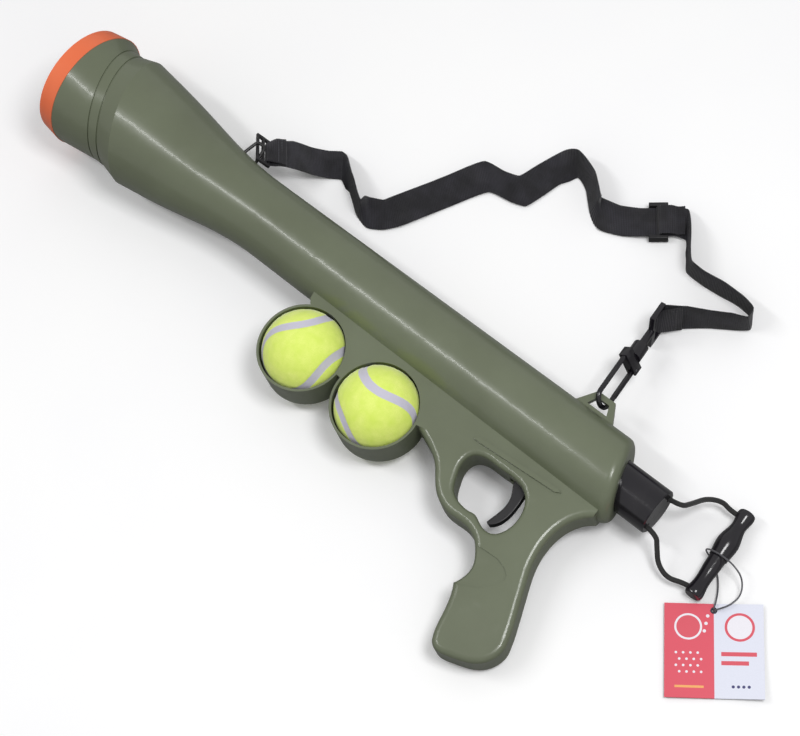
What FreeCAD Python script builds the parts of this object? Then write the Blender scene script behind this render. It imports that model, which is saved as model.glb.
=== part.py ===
"""Ball launcher for dogs: a shoulder-fired spring launcher with two spare balls, a carry strap and a tag."""
import FreeCAD, Part
import math
import os
import re
import Sketcher
from FreeCAD import Placement, Rotation, Vector

# The launcher lies on its right side. X runs from the mouth to the rear along the barrel, Y points
# to the strap side, and Z is up. The origin is the centre of the mouth.

SIZES = {
    # orange ring at the mouth
    "ring_length": 15.5,
    "ring_front_radius": 46.4,
    "ring_rear_radius": 48.8,
    "ring_bore_radius": 41.0,
    "ring_spigot_length": 4.5,
    "ring_spigot_wall": 1.9,
    # moulded shells: bell, barrel and rear end
    "shell_wall": 2.4,
    "bell_rake": 0.34,
    "flare_radius": 48.4,
    "neck_front": 38.0,
    "neck_length": 11.0,
    "neck_radius": 43.6,
    "neck_groove_width": 1.4,
    "neck_groove_depth": 0.7,
    "shoulder_place": 65.0,
    "shoulder_radius": 47.9,
    "bell_upper_place": 110.0,
    "bell_upper_growth": 12.6,
    "bell_middle_place": 135.0,
    "bell_middle_growth": 8.0,
    "bell_lower_place": 157.0,
    "bell_lower_growth": 4.0,
    "bell_foot_place": 178.0,
    "bell_foot_growth": 1.2,
    "barrel_start": 206.0,
    "barrel_front_radius": 28.8,
    "barrel_rear_radius": 30.6,
    "barrel_end": 552.0,
    "rear_rake": 0.37,
    "rear_rounding": 7.0,
    "rear_wall": 6.0,
    # frame plate with web, trigger guard and grip
    "frame_thickness": 28.0,
    "frame_rounding": 4.5,
    "guard_rounding": 3.4,
    "ridge_height": 1.8,
    "thumb_rest_depth": 0.9,
    # ball holders and balls
    "ball_radius": 32.5,
    "ball_core_wall": 3.3,
    "ball_felt_thickness": 2.6,
    "ball_clearance": 0.35,
    "holder_wall": 1.8,
    "holder_lip_width": 4.0,
    "holder_lip_height": 2.0,
    "front_ball_x": 303.0,
    "ball_pitch": 73.0,
    "ball_drop": 64.6,
    # plunger group
    "plunger_radius": 17.8,
    "plunger_wall": 2.4,
    "plunger_front": 176.0,
    "plunger_end": 584.0,
    "plunger_travel": 118.0,
    "running_gap": 0.05,
    "seat_gap": 0.2,
    "striker_length": 12.0,
    "striker_gap": 1.2,
    "striker_pad_length": 6.0,
    "window_length": 9.0,
    "window_width": 10.0,
    "cap_length": 7.0,
    "cap_spigot_length": 10.0,
    "cord_radius": 1.9,
    "cord_spread": 12.0,
    "knot_radius": 3.0,
    "bushing_length": 14.0,
    "stop_place": 430.0,
    "stop_length": 6.0,
    # drive spring
    "spring_wire_radius": 1.3,
    "spring_gap": 1.6,
    "spring_turns": 18,
    # trigger and sear
    "trigger_pivot_x": 499.0,
    "trigger_pivot_y": -38.0,
    "trigger_thickness": 7.0,
    "trigger_hub_radius": 4.2,
    "sear_pivot_x": 450.0,
    "sear_pivot_y": -37.5,
    "sear_hub_radius": 3.4,
    "sear_thickness": 7.0,
    "pin_radius": 1.5,
    "torsion_wire_radius": 0.3,
    "torsion_radius": 2.6,
    "torsion_pitch": 1.05,
    "torsion_turns": 2,
    "torsion_leg": 6.0,
    "slot_side_gap": 0.6,
    # screws through the right shell
    "screw_radius": 1.45,
    "screw_head_radius": 2.9,
    "screw_head_height": 2.0,
    "boss_radius": 4.2,
    "hole_gap": 0.15,
    # strap fittings and pull handle
    "webbing_width": 25.0,
    "webbing_thickness": 1.4,
    "loop_wire_radius": 1.3,
    "lug_thickness": 5.0,
    "lug_root_depth": 1.64,
    "lug_height": 16.3,
    "lug_edge": 4.2,
    "slide_length": 36.0,
    "slide_width": 13.0,
    "slide_thickness": 2.4,
    "slide_bar": 2.2,
    "hook_rod_radius": 1.9,
    "hook_half_width": 7.6,
    "swivel_stem_radius": 3.0,
    "adjuster_width": 15.0,
    "adjuster_thickness": 6.4,
    "adjuster_bar": 2.0,
    "soft_gap": 0.3,
    "handle_length": 74.0,
    "handle_end_radius": 6.7,
    "handle_waist_radius": 5.5,
    "handle_middle_radius": 8.3,
    "handle_seam_radius": 6.4,
    "tag_thickness": 0.8,
    "tag_side": 68.5,
    "eyelet_radius": 2.4,
    "tag_cord_radius": 0.6,
    # the table that the launcher lies on, as the plane under ring, rear end and grip
    "table_drop": 49.3,
    "table_slope_x": 0.0337,
    "table_slope_y": -0.104,
}

doc = FreeCAD.newDocument("ball_launcher")
sheet = doc.addObject("Spreadsheet::Sheet", "sizes")
for row, (alias, amount) in enumerate(SIZES.items(), start=1):
    sheet.set("A%d" % row, alias)
    sheet.set("B%d" % row, str(amount))
    sheet.setAlias("B%d" % row, alias)
probe = doc.addObject("Spreadsheet::Sheet", "probe")
doc.recompute()
parts = {}


def number(text):
    """Work out an expression on the sheet's aliases."""
    if isinstance(text, (int, float)):
        return float(text)
    probe.set("A1", "=" + bound(text))
    probe.recompute()
    return float(probe.get("A1"))


def bound(text):
    """Write an expression on the sheet's aliases so that another object can use it."""
    return re.sub(r"[a-z]+(?:_[a-z]+)+", lambda found: "sizes." + found.group(0), text)


def keep(thing, label):
    """Name a finished sub-part and put it on the list that is written out."""
    thing.Label = label
    parts[label] = thing
    return thing


def body(label, finished=True):
    made = doc.addObject("PartDesign::Body", label + "_body")
    if finished:
        keep(made, label)
    return made


def plane(owner, role):
    return next(item for item in owner.Origin.OriginFeatures if item.Role == role)


def sketch(owner, role="XY_Plane"):
    made = owner.newObject("Sketcher::SketchObject", owner.Name + "_sketch")
    made.AttachmentSupport = [(plane(owner, role), "")]
    made.MapMode = "FlatFace"
    return made


def hold(drawing, kind, point, text):
    """Fix one coordinate of a sketched point to an expression."""
    amount = number(text)
    line, end = point
    if abs(amount) < 1e-9:
        drawing.addConstraint(Sketcher.Constraint("PointOnObject", line, end, -2 if kind == "DistanceX" else -1))
        return
    index = drawing.addConstraint(Sketcher.Constraint(kind, -1, 1, line, end, amount))
    if not isinstance(text, (int, float)):
        drawing.setExpression("Constraints[%d]" % index, bound(text))


def polygon(drawing, corners):
    """Draw a closed outline of straight lines whose corners are held by expressions."""
    first = drawing.GeometryCount
    places = [Vector(number(across), number(up), 0) for across, up in corners]
    count = len(places)
    for index in range(count):
        drawing.addGeometry(Part.LineSegment(places[index], places[(index + 1) % count]))
    for index in range(count):
        nxt = first + (index + 1) % count
        drawing.addConstraint(Sketcher.Constraint("Coincident", first + index, 2, nxt, 1))
        hold(drawing, "DistanceX", (first + index, 1), corners[index][0])
        hold(drawing, "DistanceY", (first + index, 1), corners[index][1])


def disc(drawing, across, up, radius):
    """Draw a circle held by expressions."""
    index = drawing.addGeometry(Part.Circle(Vector(number(across), number(up), 0), Vector(0, 0, 1), number(radius)))
    hold(drawing, "DistanceX", (index, 3), across)
    hold(drawing, "DistanceY", (index, 3), up)
    size = drawing.addConstraint(Sketcher.Constraint("Radius", index, number(radius)))
    if not isinstance(radius, (int, float)):
        drawing.setExpression("Constraints[%d]" % size, bound(radius))


def turned(label, corners, finished=True):
    """Turn an outline, given as (place along X, radius), round the barrel axis."""
    owner = body(label, finished)
    drawing = sketch(owner)
    polygon(drawing, corners)
    spin = owner.newObject("PartDesign::Revolution", label + "_turn")
    spin.Profile = drawing
    spin.ReferenceAxis = (drawing, ["H_Axis"])
    spin.Angle = 360
    doc.recompute()
    return owner


def plate(label, corners, thickness, holes=(), finished=True, middle="0"):
    """Pad an outline evenly on both sides of the seam plane, with round holes left in it."""
    owner = body(label, finished)
    drawing = sketch(owner)
    polygon(drawing, corners)
    for hole in holes:
        disc(drawing, *hole)
    pad = owner.newObject("PartDesign::Pad", label + "_pad")
    pad.Profile = drawing
    pad.Midplane = True
    pad.setExpression("Length", bound(thickness))
    doc.recompute()
    if middle != "0":
        owner.setExpression("Placement.Base.z", bound(middle))
        doc.recompute()
    return owner


def cylinder(name, radius, length, base, axis="Z"):
    """A Part cylinder whose sizes and base point are held by expressions."""
    made = doc.addObject("Part::Cylinder", name)
    made.setExpression("Radius", bound(radius))
    made.setExpression("Height", bound(length))
    if axis == "X":
        made.Placement = Placement(Vector(), Rotation(Vector(0, 1, 0), 90))
    for letter, text in zip("xyz", base):
        if text != "0":
            made.setExpression("Placement.Base." + letter, bound(text))
    return made


def block(name, low, spans):
    """A Part box between expressions."""
    made = doc.addObject("Part::Box", name)
    for side, text in zip(("Length", "Width", "Height"), spans):
        made.setExpression(side, bound(text))
    for letter, text in zip("xyz", low):
        if text != "0":
            made.setExpression("Placement.Base." + letter, bound(text))
    return made


def joined(name, things):
    made = doc.addObject("Part::MultiFuse", name)
    made.Shapes = things
    return made


def cut(name, base, tool):
    made = doc.addObject("Part::Cut", name)
    made.Base = base
    made.Tool = tool
    return made


def common(name, things):
    made = doc.addObject("Part::MultiCommon", name)
    made.Shapes = things
    return made


def shaped(label, shape, finished=True):
    """A free-form piece whose Shape is set here."""
    made = doc.addObject("Part::Feature", label + "_shape")
    made.Shape = shape
    if finished:
        keep(made, label)
    return made


def table(across, along, height=0.0):
    """The point at a height over the table."""
    level = -number("table_drop") + number("table_slope_x") * across + number("table_slope_y") * along
    return Vector(across, along, level + height)


# Bell and barrel: a row of ellipses, each the cut of a leaning plane through a round section.

def section(name, place, rake, radius):
    """An ellipse that shows as a circle along the barrel and leans by the rake."""
    made = doc.addObject("Part::Ellipse", name)
    made.setExpression("MajorRadius", bound("(%s) * sqrt(1 + (%s) ^ 2)" % (radius, rake)))
    made.setExpression("MinorRadius", bound(radius))
    lean = "create(<<rotation>>; create(<<vector>>; 0; 0; 1); atan(%s))" % bound(rake)
    onto = "create(<<rotation>>; create(<<vector>>; 1; 1; 1); 120)"
    base = "create(<<vector>>; %s; 0; 0)" % bound(place)
    made.setExpression("Placement", "create(<<placement>>; %s; %s * %s)" % (base, lean, onto))
    return made


def skin(name, stations, inset, ruled):
    """A solid through leaning sections, all drawn in by the inset."""
    rows = [section("%s_%d" % (name, index), place, rake, "%s - %s" % (radius, inset) if inset != "0" else radius)
            for index, (place, rake, radius) in enumerate(stations)]
    made = doc.addObject("Part::Loft", name)
    made.Sections = rows
    made.Solid = True
    made.Ruled = ruled
    doc.recompute()
    return made


FLARE = [
    ("ring_length", "0 * bell_rake", "flare_radius"),
    ("neck_front", "bell_rake", "neck_radius"),
    ("neck_front + neck_length", "bell_rake", "neck_radius"),
    ("shoulder_place", "bell_rake", "shoulder_radius"),
]
BELL = [
    ("shoulder_place", "bell_rake", "shoulder_radius"),
    ("bell_upper_place", "bell_rake", "barrel_front_radius + bell_upper_growth"),
    ("bell_middle_place", "bell_rake", "barrel_front_radius + bell_middle_growth"),
    ("bell_lower_place", "bell_rake", "barrel_front_radius + bell_lower_growth"),
    ("bell_foot_place", "bell_rake", "barrel_front_radius + bell_foot_growth"),
    ("barrel_start", "bell_rake", "barrel_front_radius"),
]
BARREL = [
    ("barrel_start", "bell_rake", "barrel_front_radius"),
    ("barrel_end", "rear_rake", "barrel_rear_radius"),
]
BORE_END = [
    ("barrel_start", "bell_rake", "barrel_front_radius"),
    ("barrel_end - rear_wall", "rear_rake", "barrel_rear_radius"),
]
outer_flare = skin("outer_flare", FLARE, "0", True)
outer_bell = skin("outer_bell", BELL, "0", False)
outer_barrel = skin("outer_barrel", BARREL, "0", True)

housing_outer = joined("housing_round", [outer_flare, outer_bell, outer_barrel])
bore_flare = skin("bore_flare", FLARE, "shell_wall", True)
bore_bell = skin("bore_bell", BELL, "shell_wall", False)
bore_barrel = skin("bore_barrel", BORE_END, "shell_wall", True)
doc.recompute()


BORE_RADIUS = "barrel_front_radius - shell_wall"
BORE_GROWTH = "(barrel_rear_radius - barrel_front_radius) / (barrel_end - barrel_start)"


def bore_at(place):
    """The barrel's inner radius at a place along it."""
    return "%s + %s * (%s - barrel_start)" % (BORE_RADIUS, BORE_GROWTH, place)


def edges_where(shape, wanted):
    """Numbers of the edges that a test picks, as edge names."""
    return ["Edge%d" % (index + 1) for index, edge in enumerate(shape.Edges) if wanted(edge)]


def at_rear_rim(edge):
    """The outer edge of the leaning rear face."""
    box = edge.BoundBox
    across = [point.x + number("rear_rake") * point.y for point in edge.discretize(7)]
    return max(across) - min(across) < 0.1 and abs(across[0] - number("barrel_end")) < 0.1 and box.ZMax > 20


rounded = doc.addObject("Part::Fillet", "rounded_rear")
rounded.Base = outer_barrel
rim = [index + 1 for index, edge in enumerate(outer_barrel.Shape.Edges) if at_rear_rim(edge)]
rounded.Edges = [(index, number("rear_rounding"), number("rear_rounding")) for index in rim]
doc.recompute()
housing_outer.Shapes = [outer_flare, outer_bell, rounded]

# Frame plate: web beside the balls, trigger guard and grip, drawn in the seam plane.

WEB_LINE = [(411, -58), (376, -65), (303, -64.6), (290, -41), (281.5, -31), (279, -20), (553, -20)]
GUARD_CURVE = [(411, -58), (428, -65), (438, -71), (447, -81), (457, -89.5), (470, -93.5), (485, -93),
               (497, -97), (504, -104), (509, -113), (509, -122), (506, -130)]
GRIP_FRONT = [(506, -130), (511, -140), (514.5, -152), (517, -162), (521, -171)]
GRIP_BUTT = [(521, -171), (527, -174.5), (537, -172.5), (548, -168.5), (558, -162), (563.5, -153), (564.5, -143)]
GRIP_BACK = [(564.5, -143), (560.5, -131), (554.5, -117), (547.5, -101), (541.5, -86), (538.5, -70), (539.5, -55),
             (544, -43), (553, -33)]
GUARD_OPENING = [(484, -83), (472, -83), (463.5, -79), (457.5, -69), (454.5, -58), (457, -50), (464, -46.2),
                 (476, -45.6), (490, -45.2), (502, -48), (509.5, -56), (512.5, -67), (511, -78), (505, -86),
                 (495, -86.5)]


def spline(drawing, points, closed=False):
    """A smooth curve through hand-set points."""
    curve = Part.BSplineCurve()
    curve.interpolate([Vector(across, up, 0) for across, up in points], PeriodicFlag=closed)
    return drawing.addGeometry(curve)


def chain(drawing, points):
    for start, end in zip(points, points[1:]):
        drawing.addGeometry(Part.LineSegment(Vector(*start, 0), Vector(*end, 0)))


def frame_plate():
    """The solid plate before it is hollowed, with its rounded outer edges."""
    owner = body("frame", finished=False)
    drawing = sketch(owner)
    chain(drawing, WEB_LINE)
    chain(drawing, [WEB_LINE[-1], GRIP_BACK[-1]])
    for points in (GUARD_CURVE, GRIP_FRONT, GRIP_BUTT, GRIP_BACK):
        spline(drawing, points)
    pad = owner.newObject("PartDesign::Pad", "frame_pad")
    pad.Profile = drawing
    pad.Midplane = True
    pad.setExpression("Length", bound("frame_thickness"))
    doc.recompute()
    opening_sketch = sketch(owner)
    spline(opening_sketch, GUARD_OPENING, closed=True)
    opening = owner.newObject("PartDesign::Pocket", "guard_opening")
    opening.Profile = opening_sketch
    opening.Midplane = True
    opening.setExpression("Length", bound("frame_thickness + 2"))
    doc.recompute()
    return owner, pad, opening


frame, frame_pad, guard_opening = frame_plate()

def face_edges(shape, level, wanted):
    """Names of the edges that lie at a height above or below the seam plane."""
    def lies(edge):
        box = edge.BoundBox
        flat = box.ZMax - box.ZMin < 0.01 and abs(abs(box.ZMax) - level) < 0.01
        return flat and wanted(edge)
    return edges_where(shape, lies)


def rounded_over(owner, feature, name, names, radius):
    made = owner.newObject("PartDesign::Fillet", name)
    made.Base = (feature, names)
    made.setExpression("Radius", bound(radius))
    doc.recompute()
    return made


def is_outer_curve(edge):
    """A curved edge of the plate's outline."""
    middle = edge.CenterOfMass
    return "Line" not in edge.Curve.TypeId and not (456 < middle.x < 506 and -82 < middle.y < -46)


def is_opening(edge):
    """The edge of the guard opening."""
    middle = edge.CenterOfMass
    return "Line" not in edge.Curve.TypeId and 456 < middle.x < 506 and -82 < middle.y < -46


half_frame = number("frame_thickness / 2")
outline_edges = face_edges(guard_opening.Shape, half_frame, is_outer_curve)
frame_edge = rounded_over(frame, guard_opening, "frame_edge", outline_edges, "frame_rounding")
opening_edges = face_edges(frame_edge.Shape, half_frame, is_opening)
opening_edge = rounded_over(frame, frame_edge, "opening_edge", opening_edges, "guard_rounding")

# Pieces that the plate carries: ridges beside the barrel, holders for two balls, the rear strap lug.

RIDGE = [(450, -40.6), (453, -37.4), (521, -32.8), (525, -33.8), (521, -36), (456, -40.6)]
LUG_ROOT = "%s + shell_wall - lug_root_depth" % bore_at("502")
LUG_TOP = LUG_ROOT + " + lug_height"
HOLE_FOOT = LUG_ROOT + " + 4.5"
HOLE_TOP = LUG_TOP + " - lug_edge"
LUG = [(484, LUG_ROOT), (494.5, LUG_TOP), (510, LUG_TOP), (520, LUG_ROOT)]
LUG_HOLE = [(493.5, HOLE_FOOT), (497, HOLE_TOP), (507.5, HOLE_TOP), (511, HOLE_FOOT)]
THUMB_REST = [(507, -99), (520, -98), (528, -100), (533, -103.5), (534, -107), (530.5, -115), (523, -123),
              (512, -129), (500, -130), (500, -100)]
SPARE_GAP = [(327, -33.5), (352, -33.5), (339.5, -46.5)]
WEB_ROOM = [(399, -33.5), (438, -33.5), (436, -62), (430, -58), (413, -51.5)]
GRIP_ROOM = [(441, -33.5), (531, -33.5), (531, -70), (534, -86), (540, -101), (547, -117), (553, -131),
             (557, -142), (556, -150), (551, -157), (541, -162.5), (529, -166.5), (525.5, -165), (521.5, -152),
             (517, -138), (512.5, -129.5), (516, -122), (517, -112), (516, -101), (516, -50), (509, -42.6),
             (441, -42.6)]
SCREW_PLACES = [(339.5, -38.2), (424, -42), (522, -62), (534, -112), (546, -150)]


def strips(name, corners, thickness, holes=()):
    """An unfinished plate from plain numbers."""
    return plate(name, corners, thickness, holes, finished=False)


ridge = strips("ridge", RIDGE, "frame_thickness + 2 * ridge_height")
lug = strips("strap_lug", LUG, "lug_thickness")
lug_hole = strips("strap_lug_hole", LUG_HOLE, "lug_thickness + 2")
thumb_cuts = []
for side in ("", "-"):
    thumb = plate("thumb_rest_%s" % ("left" if side == "" else "right"), THUMB_REST, "2 * thumb_rest_depth",
                  finished=False, middle="%sframe_thickness / 2" % side)
    thumb_cuts.append(thumb)
rooms = [strips(name, corners, "frame_thickness - 2 * shell_wall")
         for name, corners in (("spare_gap", SPARE_GAP), ("web_room", WEB_ROOM), ("grip_room", GRIP_ROOM))]

BALLS = (("front_ball", "front_ball_x"), ("rear_ball", "front_ball_x + ball_pitch"))
HOLDER_BORE = "ball_radius + ball_clearance"
holders = []
holder_holes = []
for name, place in BALLS:
    spot = (place, "-ball_drop")
    holders.append(cylinder(name + "_holder", HOLDER_BORE + " + holder_wall", "frame_thickness",
                            spot + ("-frame_thickness / 2",)))
    holder_holes.append(cylinder(name + "_room", HOLDER_BORE, "frame_thickness",
                                 spot + ("holder_lip_height - frame_thickness / 2",)))
    holder_holes.append(cylinder(name + "_lip", HOLDER_BORE + " - holder_lip_width", "frame_thickness + 2",
                                 spot + ("-frame_thickness / 2 - 1",)))

# Two fine leaning grooves round the neck.
grooves = []
for index, place in enumerate(("neck_front", "neck_front + neck_length - neck_groove_width")):
    over = [(place, "bell_rake", "neck_radius + 3"),
            (place + " + neck_groove_width", "bell_rake", "neck_radius + 3")]
    under = [(place + " - 1", "bell_rake", "neck_radius"),
             (place + " + neck_groove_width + 1", "bell_rake", "neck_radius")]
    grooves.append(cut("neck_groove_%d" % index, skin("groove_over_%d" % index, over, "0", True),
                       skin("groove_under_%d" % index, under, "neck_groove_depth", True)))

rear_hole = cylinder("rear_hole", "plunger_radius + 2 * seat_gap", "60", ("barrel_end - 35", "0", "0"), "X")
trigger_slot = block("trigger_slot", ("trigger_pivot_x - 13", "-50", "-trigger_thickness / 2 - slot_side_gap"),
                     ("20", "8", "trigger_thickness + 2 * slot_side_gap"))
swing_slot = block("swing_slot", ("trigger_pivot_x + 1", "-84", "-trigger_thickness / 2 - slot_side_gap"),
                   ("14", "42", "trigger_thickness + 2 * slot_side_gap"))
sear_slot = block("sear_slot", ("sear_pivot_x + 19.8", "-36", "-sear_thickness / 2 - slot_side_gap"),
                  ("13", "12", "sear_thickness + 2 * slot_side_gap"))


def smooth_wire(points, radius, bend):
    """A round wire along straight runs joined by arcs of one radius."""
    edges = []
    start = points[0]
    for index in range(1, len(points) - 1):
        before = (points[index] - points[index - 1]).normalize()
        after = (points[index + 1] - points[index]).normalize()
        half_turn = before.getAngle(after) / 2
        reach = bend * math.tan(half_turn)
        entry = points[index] - before * reach
        leave = points[index] + after * reach
        towards = (after - before).normalize()
        crown = points[index] + towards * (bend / math.cos(half_turn) - bend)
        if start.distanceToPoint(entry) > 1e-6:
            edges.append(Part.LineSegment(start, entry).toShape())
        edges.append(Part.Arc(entry, crown, leave).toShape())
        start = leave
    edges.append(Part.LineSegment(start, points[-1]).toShape())
    return pipe(edges, radius)


def pipe(edges, radius):
    """A round solid along touching edges."""
    path = Part.Wire(edges)
    along = edges[0].tangentAt(edges[0].FirstParameter)
    ring = Part.Wire([Part.Circle(edges[0].valueAt(edges[0].FirstParameter), along, radius).toShape()])
    shell = Part.BRepOffsetAPI.MakePipeShell(path)
    shell.add(ring)
    shell.build()
    shell.makeSolid()
    return shell.shape()


BELL_SIDE = number("barrel_front_radius + bell_lower_growth")
LOOP_TOP = BELL_SIDE + 12.2
LOOP_POINTS = [Vector(150.5, BELL_SIDE - 1.9, 0), Vector(153.5, LOOP_TOP, 0), Vector(161.5, LOOP_TOP, 0),
               Vector(164.5, BELL_SIDE - 3.3, 0)]
strap_loop_shape = smooth_wire(LOOP_POINTS, number("loop_wire_radius"), 3.2)
strap_loop = shaped("strap_loop", strap_loop_shape)
loop_seat = shaped("loop_seat", smooth_wire(LOOP_POINTS, number("loop_wire_radius + running_gap"), 3.2), False)

solid_housing = joined("solid_housing", [housing_outer, frame, ridge] + holders)
hollows = joined("housing_hollows", [bore_flare, bore_bell, bore_barrel] + rooms + thumb_cuts + holder_holes
                 + grooves + [rear_hole, trigger_slot, swing_slot, sear_slot])
open_housing = cut("open_housing", solid_housing, hollows)
doc.recompute()
lugged = joined("lugged_housing", [open_housing, cut("open_lug", lug, lug_hole)])

# Screw bosses in the rooms of the plate, and short bosses that hold the two pins.
bosses = []
boss_holes = []
for index, (across, up) in enumerate(SCREW_PLACES):
    spot = (str(across), str(up))
    bosses.append(cylinder("boss_%d" % index, "boss_radius", "frame_thickness - 2 * shell_wall",
                           spot + ("shell_wall - frame_thickness / 2",)))
    boss_holes.append(cylinder("boss_hole_%d" % index, "screw_radius + hole_gap",
                               "frame_thickness - shell_wall - 2", spot + ("-frame_thickness / 2 - 1",)))
    boss_holes.append(cylinder("head_hole_%d" % index, "screw_head_radius + hole_gap",
                               "screw_head_height + 1 + hole_gap", spot + ("-frame_thickness / 2 - 1",)))
PINS = (("trigger", "trigger_pivot_x", "trigger_pivot_y"), ("sear", "sear_pivot_x", "sear_pivot_y"))
PIN_END = "frame_thickness / 2 - shell_wall"
for name, across, up in PINS:
    for side in ("left", "right"):
        low = "trigger_thickness / 2 + 3.6" if side == "left" else "-(%s)" % PIN_END
        bosses.append(cylinder("%s_boss_%s" % (name, side), "pin_radius + 1.6",
                               "%s - trigger_thickness / 2 - 3.6" % PIN_END, (across, up, low)))
    boss_holes.append(cylinder(name + "_pin_hole", "pin_radius + running_gap", "2 * (%s)" % PIN_END,
                               (across, up, "-(%s)" % PIN_END)))
bossed = joined("bossed_housing", [lugged] + bosses)
housing = cut("housing", bossed, joined("boss_holes", boss_holes + [loop_seat]))
doc.recompute()

HOUSING_BOX = ("0", "-200", "0"), ("700", "300", "80")
upper_room = block("upper_room", *HOUSING_BOX)
lower_room = block("lower_room", ("0", "-200", "-80"), HOUSING_BOX[1])
left_shell = keep(common("left_half", [housing, upper_room]), "left_shell")
right_shell = keep(common("right_half", [housing, lower_room]), "right_shell")
doc.recompute()

# Orange ring that closes the front of both shells.
SPIGOT_RADIUS = "ring_bore_radius + ring_spigot_wall"
muzzle_ring = turned("muzzle_ring", [
    ("0", "ring_bore_radius"),
    ("0", "ring_front_radius"),
    ("ring_length", "ring_rear_radius"),
    ("ring_length", SPIGOT_RADIUS),
    ("ring_length + ring_spigot_length", SPIGOT_RADIUS),
    ("ring_length + ring_spigot_length", "ring_bore_radius"),
])

# Fixed rings inside the barrel: the stop that the spring pushes on and the guide at the rear.
TUBE_BORE = "plunger_radius - plunger_wall"


def guide_ring(label, place, length):
    seat = "%s - seat_gap" % bore_at(place)
    return turned(label, [
        (place, "plunger_radius + running_gap"),
        (place, seat),
        ("%s + %s" % (place, length), seat),
        ("%s + %s" % (place, length), "plunger_radius + running_gap"),
    ])


spring_stop = guide_ring("spring_stop", "stop_place", "stop_length")
rear_bushing = guide_ring("rear_bushing", "barrel_end - rear_wall - bushing_length - 16", "bushing_length")

# Plunger: a long tube with a striker at its front and a cap at its rear.
TUBE_START = "plunger_front + striker_length"
CAP_START = "plunger_end - cap_length"
SPIGOT = TUBE_BORE + " - running_gap"
plunger_round = turned("plunger_round", [
    (TUBE_START, TUBE_BORE),
    (TUBE_START, "plunger_radius"),
    (CAP_START, "plunger_radius"),
    (CAP_START, TUBE_BORE),
], finished=False)
window = block("catch_window", ("sear_pivot_x + 20.5 - plunger_travel", "-plunger_radius - 1", "-window_width / 2"),
               ("window_length", "plunger_wall + 2", "window_width"))
PIN_PLACE = "%s + 6" % TUBE_START
cross_hole = cylinder("striker_pin_hole", "pin_radius + running_gap", "2 * plunger_radius + 2",
                      (PIN_PLACE, "0", "-plunger_radius - 1"))
plunger_tube = keep(cut("plunger_cut", plunger_round, joined("plunger_holes", [window, cross_hole])), "plunger_tube")

STRIKER_RADIUS = BORE_RADIUS + " - striker_gap"
striker_round = turned("striker_round", [
    ("plunger_front", "0"),
    ("plunger_front", STRIKER_RADIUS + " - 2"),
    ("plunger_front + 2", STRIKER_RADIUS),
    (TUBE_START, STRIKER_RADIUS),
    (TUBE_START, SPIGOT),
    (TUBE_START + " + 12", SPIGOT),
    (TUBE_START + " + 12", "0"),
], finished=False)
spigot_hole = cylinder("spigot_hole", "pin_radius + running_gap", "2 * plunger_radius + 2",
                       (PIN_PLACE, "0", "-plunger_radius - 1"))
striker = keep(cut("striker_cut", striker_round, spigot_hole), "striker_head")
striker_pad = turned("striker_pad", [
    ("plunger_front - striker_pad_length", "0"),
    ("plunger_front - striker_pad_length", STRIKER_RADIUS + " - 6"),
    ("plunger_front - striker_pad_length + 2", STRIKER_RADIUS + " - 4"),
    ("plunger_front", STRIKER_RADIUS + " - 4"),
    ("plunger_front", "0"),
])
striker_pin = keep(cylinder("striker_pin_round", "pin_radius", "2 * plunger_radius - 0.4",
                            (PIN_PLACE, "0", "0.2 - plunger_radius")), "striker_pin")

cap_round = turned("cap_round", [
    ("plunger_end", "0"),
    ("plunger_end", "plunger_radius - 0.8"),
    ("plunger_end - 0.8", "plunger_radius"),
    (CAP_START, "plunger_radius"),
    (CAP_START, SPIGOT),
    (CAP_START + " - cap_spigot_length", SPIGOT),
    (CAP_START + " - cap_spigot_length", "0"),
], finished=False)
cord_holes = [cylinder("cord_hole_%s" % side, "cord_radius + 3 * running_gap", "cap_length + cap_spigot_length + 2",
                       (CAP_START + " - cap_spigot_length - 1", sign + "cord_spread", "0"), "X")
              for side, sign in (("top", ""), ("bottom", "-"))]
plunger_cap = keep(cut("cap_cut", cap_round, joined("cord_holes", cord_holes)), "plunger_cap")
KNOT_LENGTH = "5"
knots = [cylinder("knot_%s" % side, "knot_radius", KNOT_LENGTH,
                  (CAP_START + " - cap_spigot_length - " + KNOT_LENGTH, sign + "cord_spread", "0"), "X")
         for side, sign in (("top", ""), ("bottom", "-"))]
cord_knots = keep(joined("knot_pair", knots), "cord_knots")

# Springs are one wire each, laid along arcs that run into one another smoothly.


def arc_from(start, direction, end):
    """The arc that leaves a point along a direction and meets another point."""
    chord = end - start
    half = direction.getAngle(chord)
    normal = chord.cross(direction)
    if half < 1e-7:
        return Part.LineSegment(start, end).toShape()
    sag = Vector(normal).cross(chord).normalize() * (-chord.Length / 2 * math.tan(half / 2))
    middle = (start + end) * 0.5
    crown = middle - sag
    return Part.Arc(start, crown, end).toShape()


def twin_arcs(start, begin, end, finish):
    """Two arcs that join two points and keep the direction at both."""
    gap = end - start
    total = begin + finish
    spread = 2 * (1 - begin.dot(finish))
    pull = (math.sqrt(gap.dot(total) ** 2 + spread * gap.dot(gap)) - gap.dot(total)) / spread
    joint = (start + begin * pull + end - finish * pull) * 0.5
    turned_back = arc_from(end, finish * -1, joint)
    first = arc_from(start, begin, joint)
    return [first, turned_back]


def coil_points(radius, pitch, turns, steps=4):
    """Points and directions round a coil along X, a quarter turn apart."""
    rows = []
    for index in range(turns * steps + 1):
        angle = 2 * math.pi * index / steps
        place = Vector(pitch * index / steps, radius * math.cos(angle), radius * math.sin(angle))
        along = Vector(pitch / (2 * math.pi), -radius * math.sin(angle), radius * math.cos(angle)).normalize()
        rows.append((place, along))
    return rows


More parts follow.
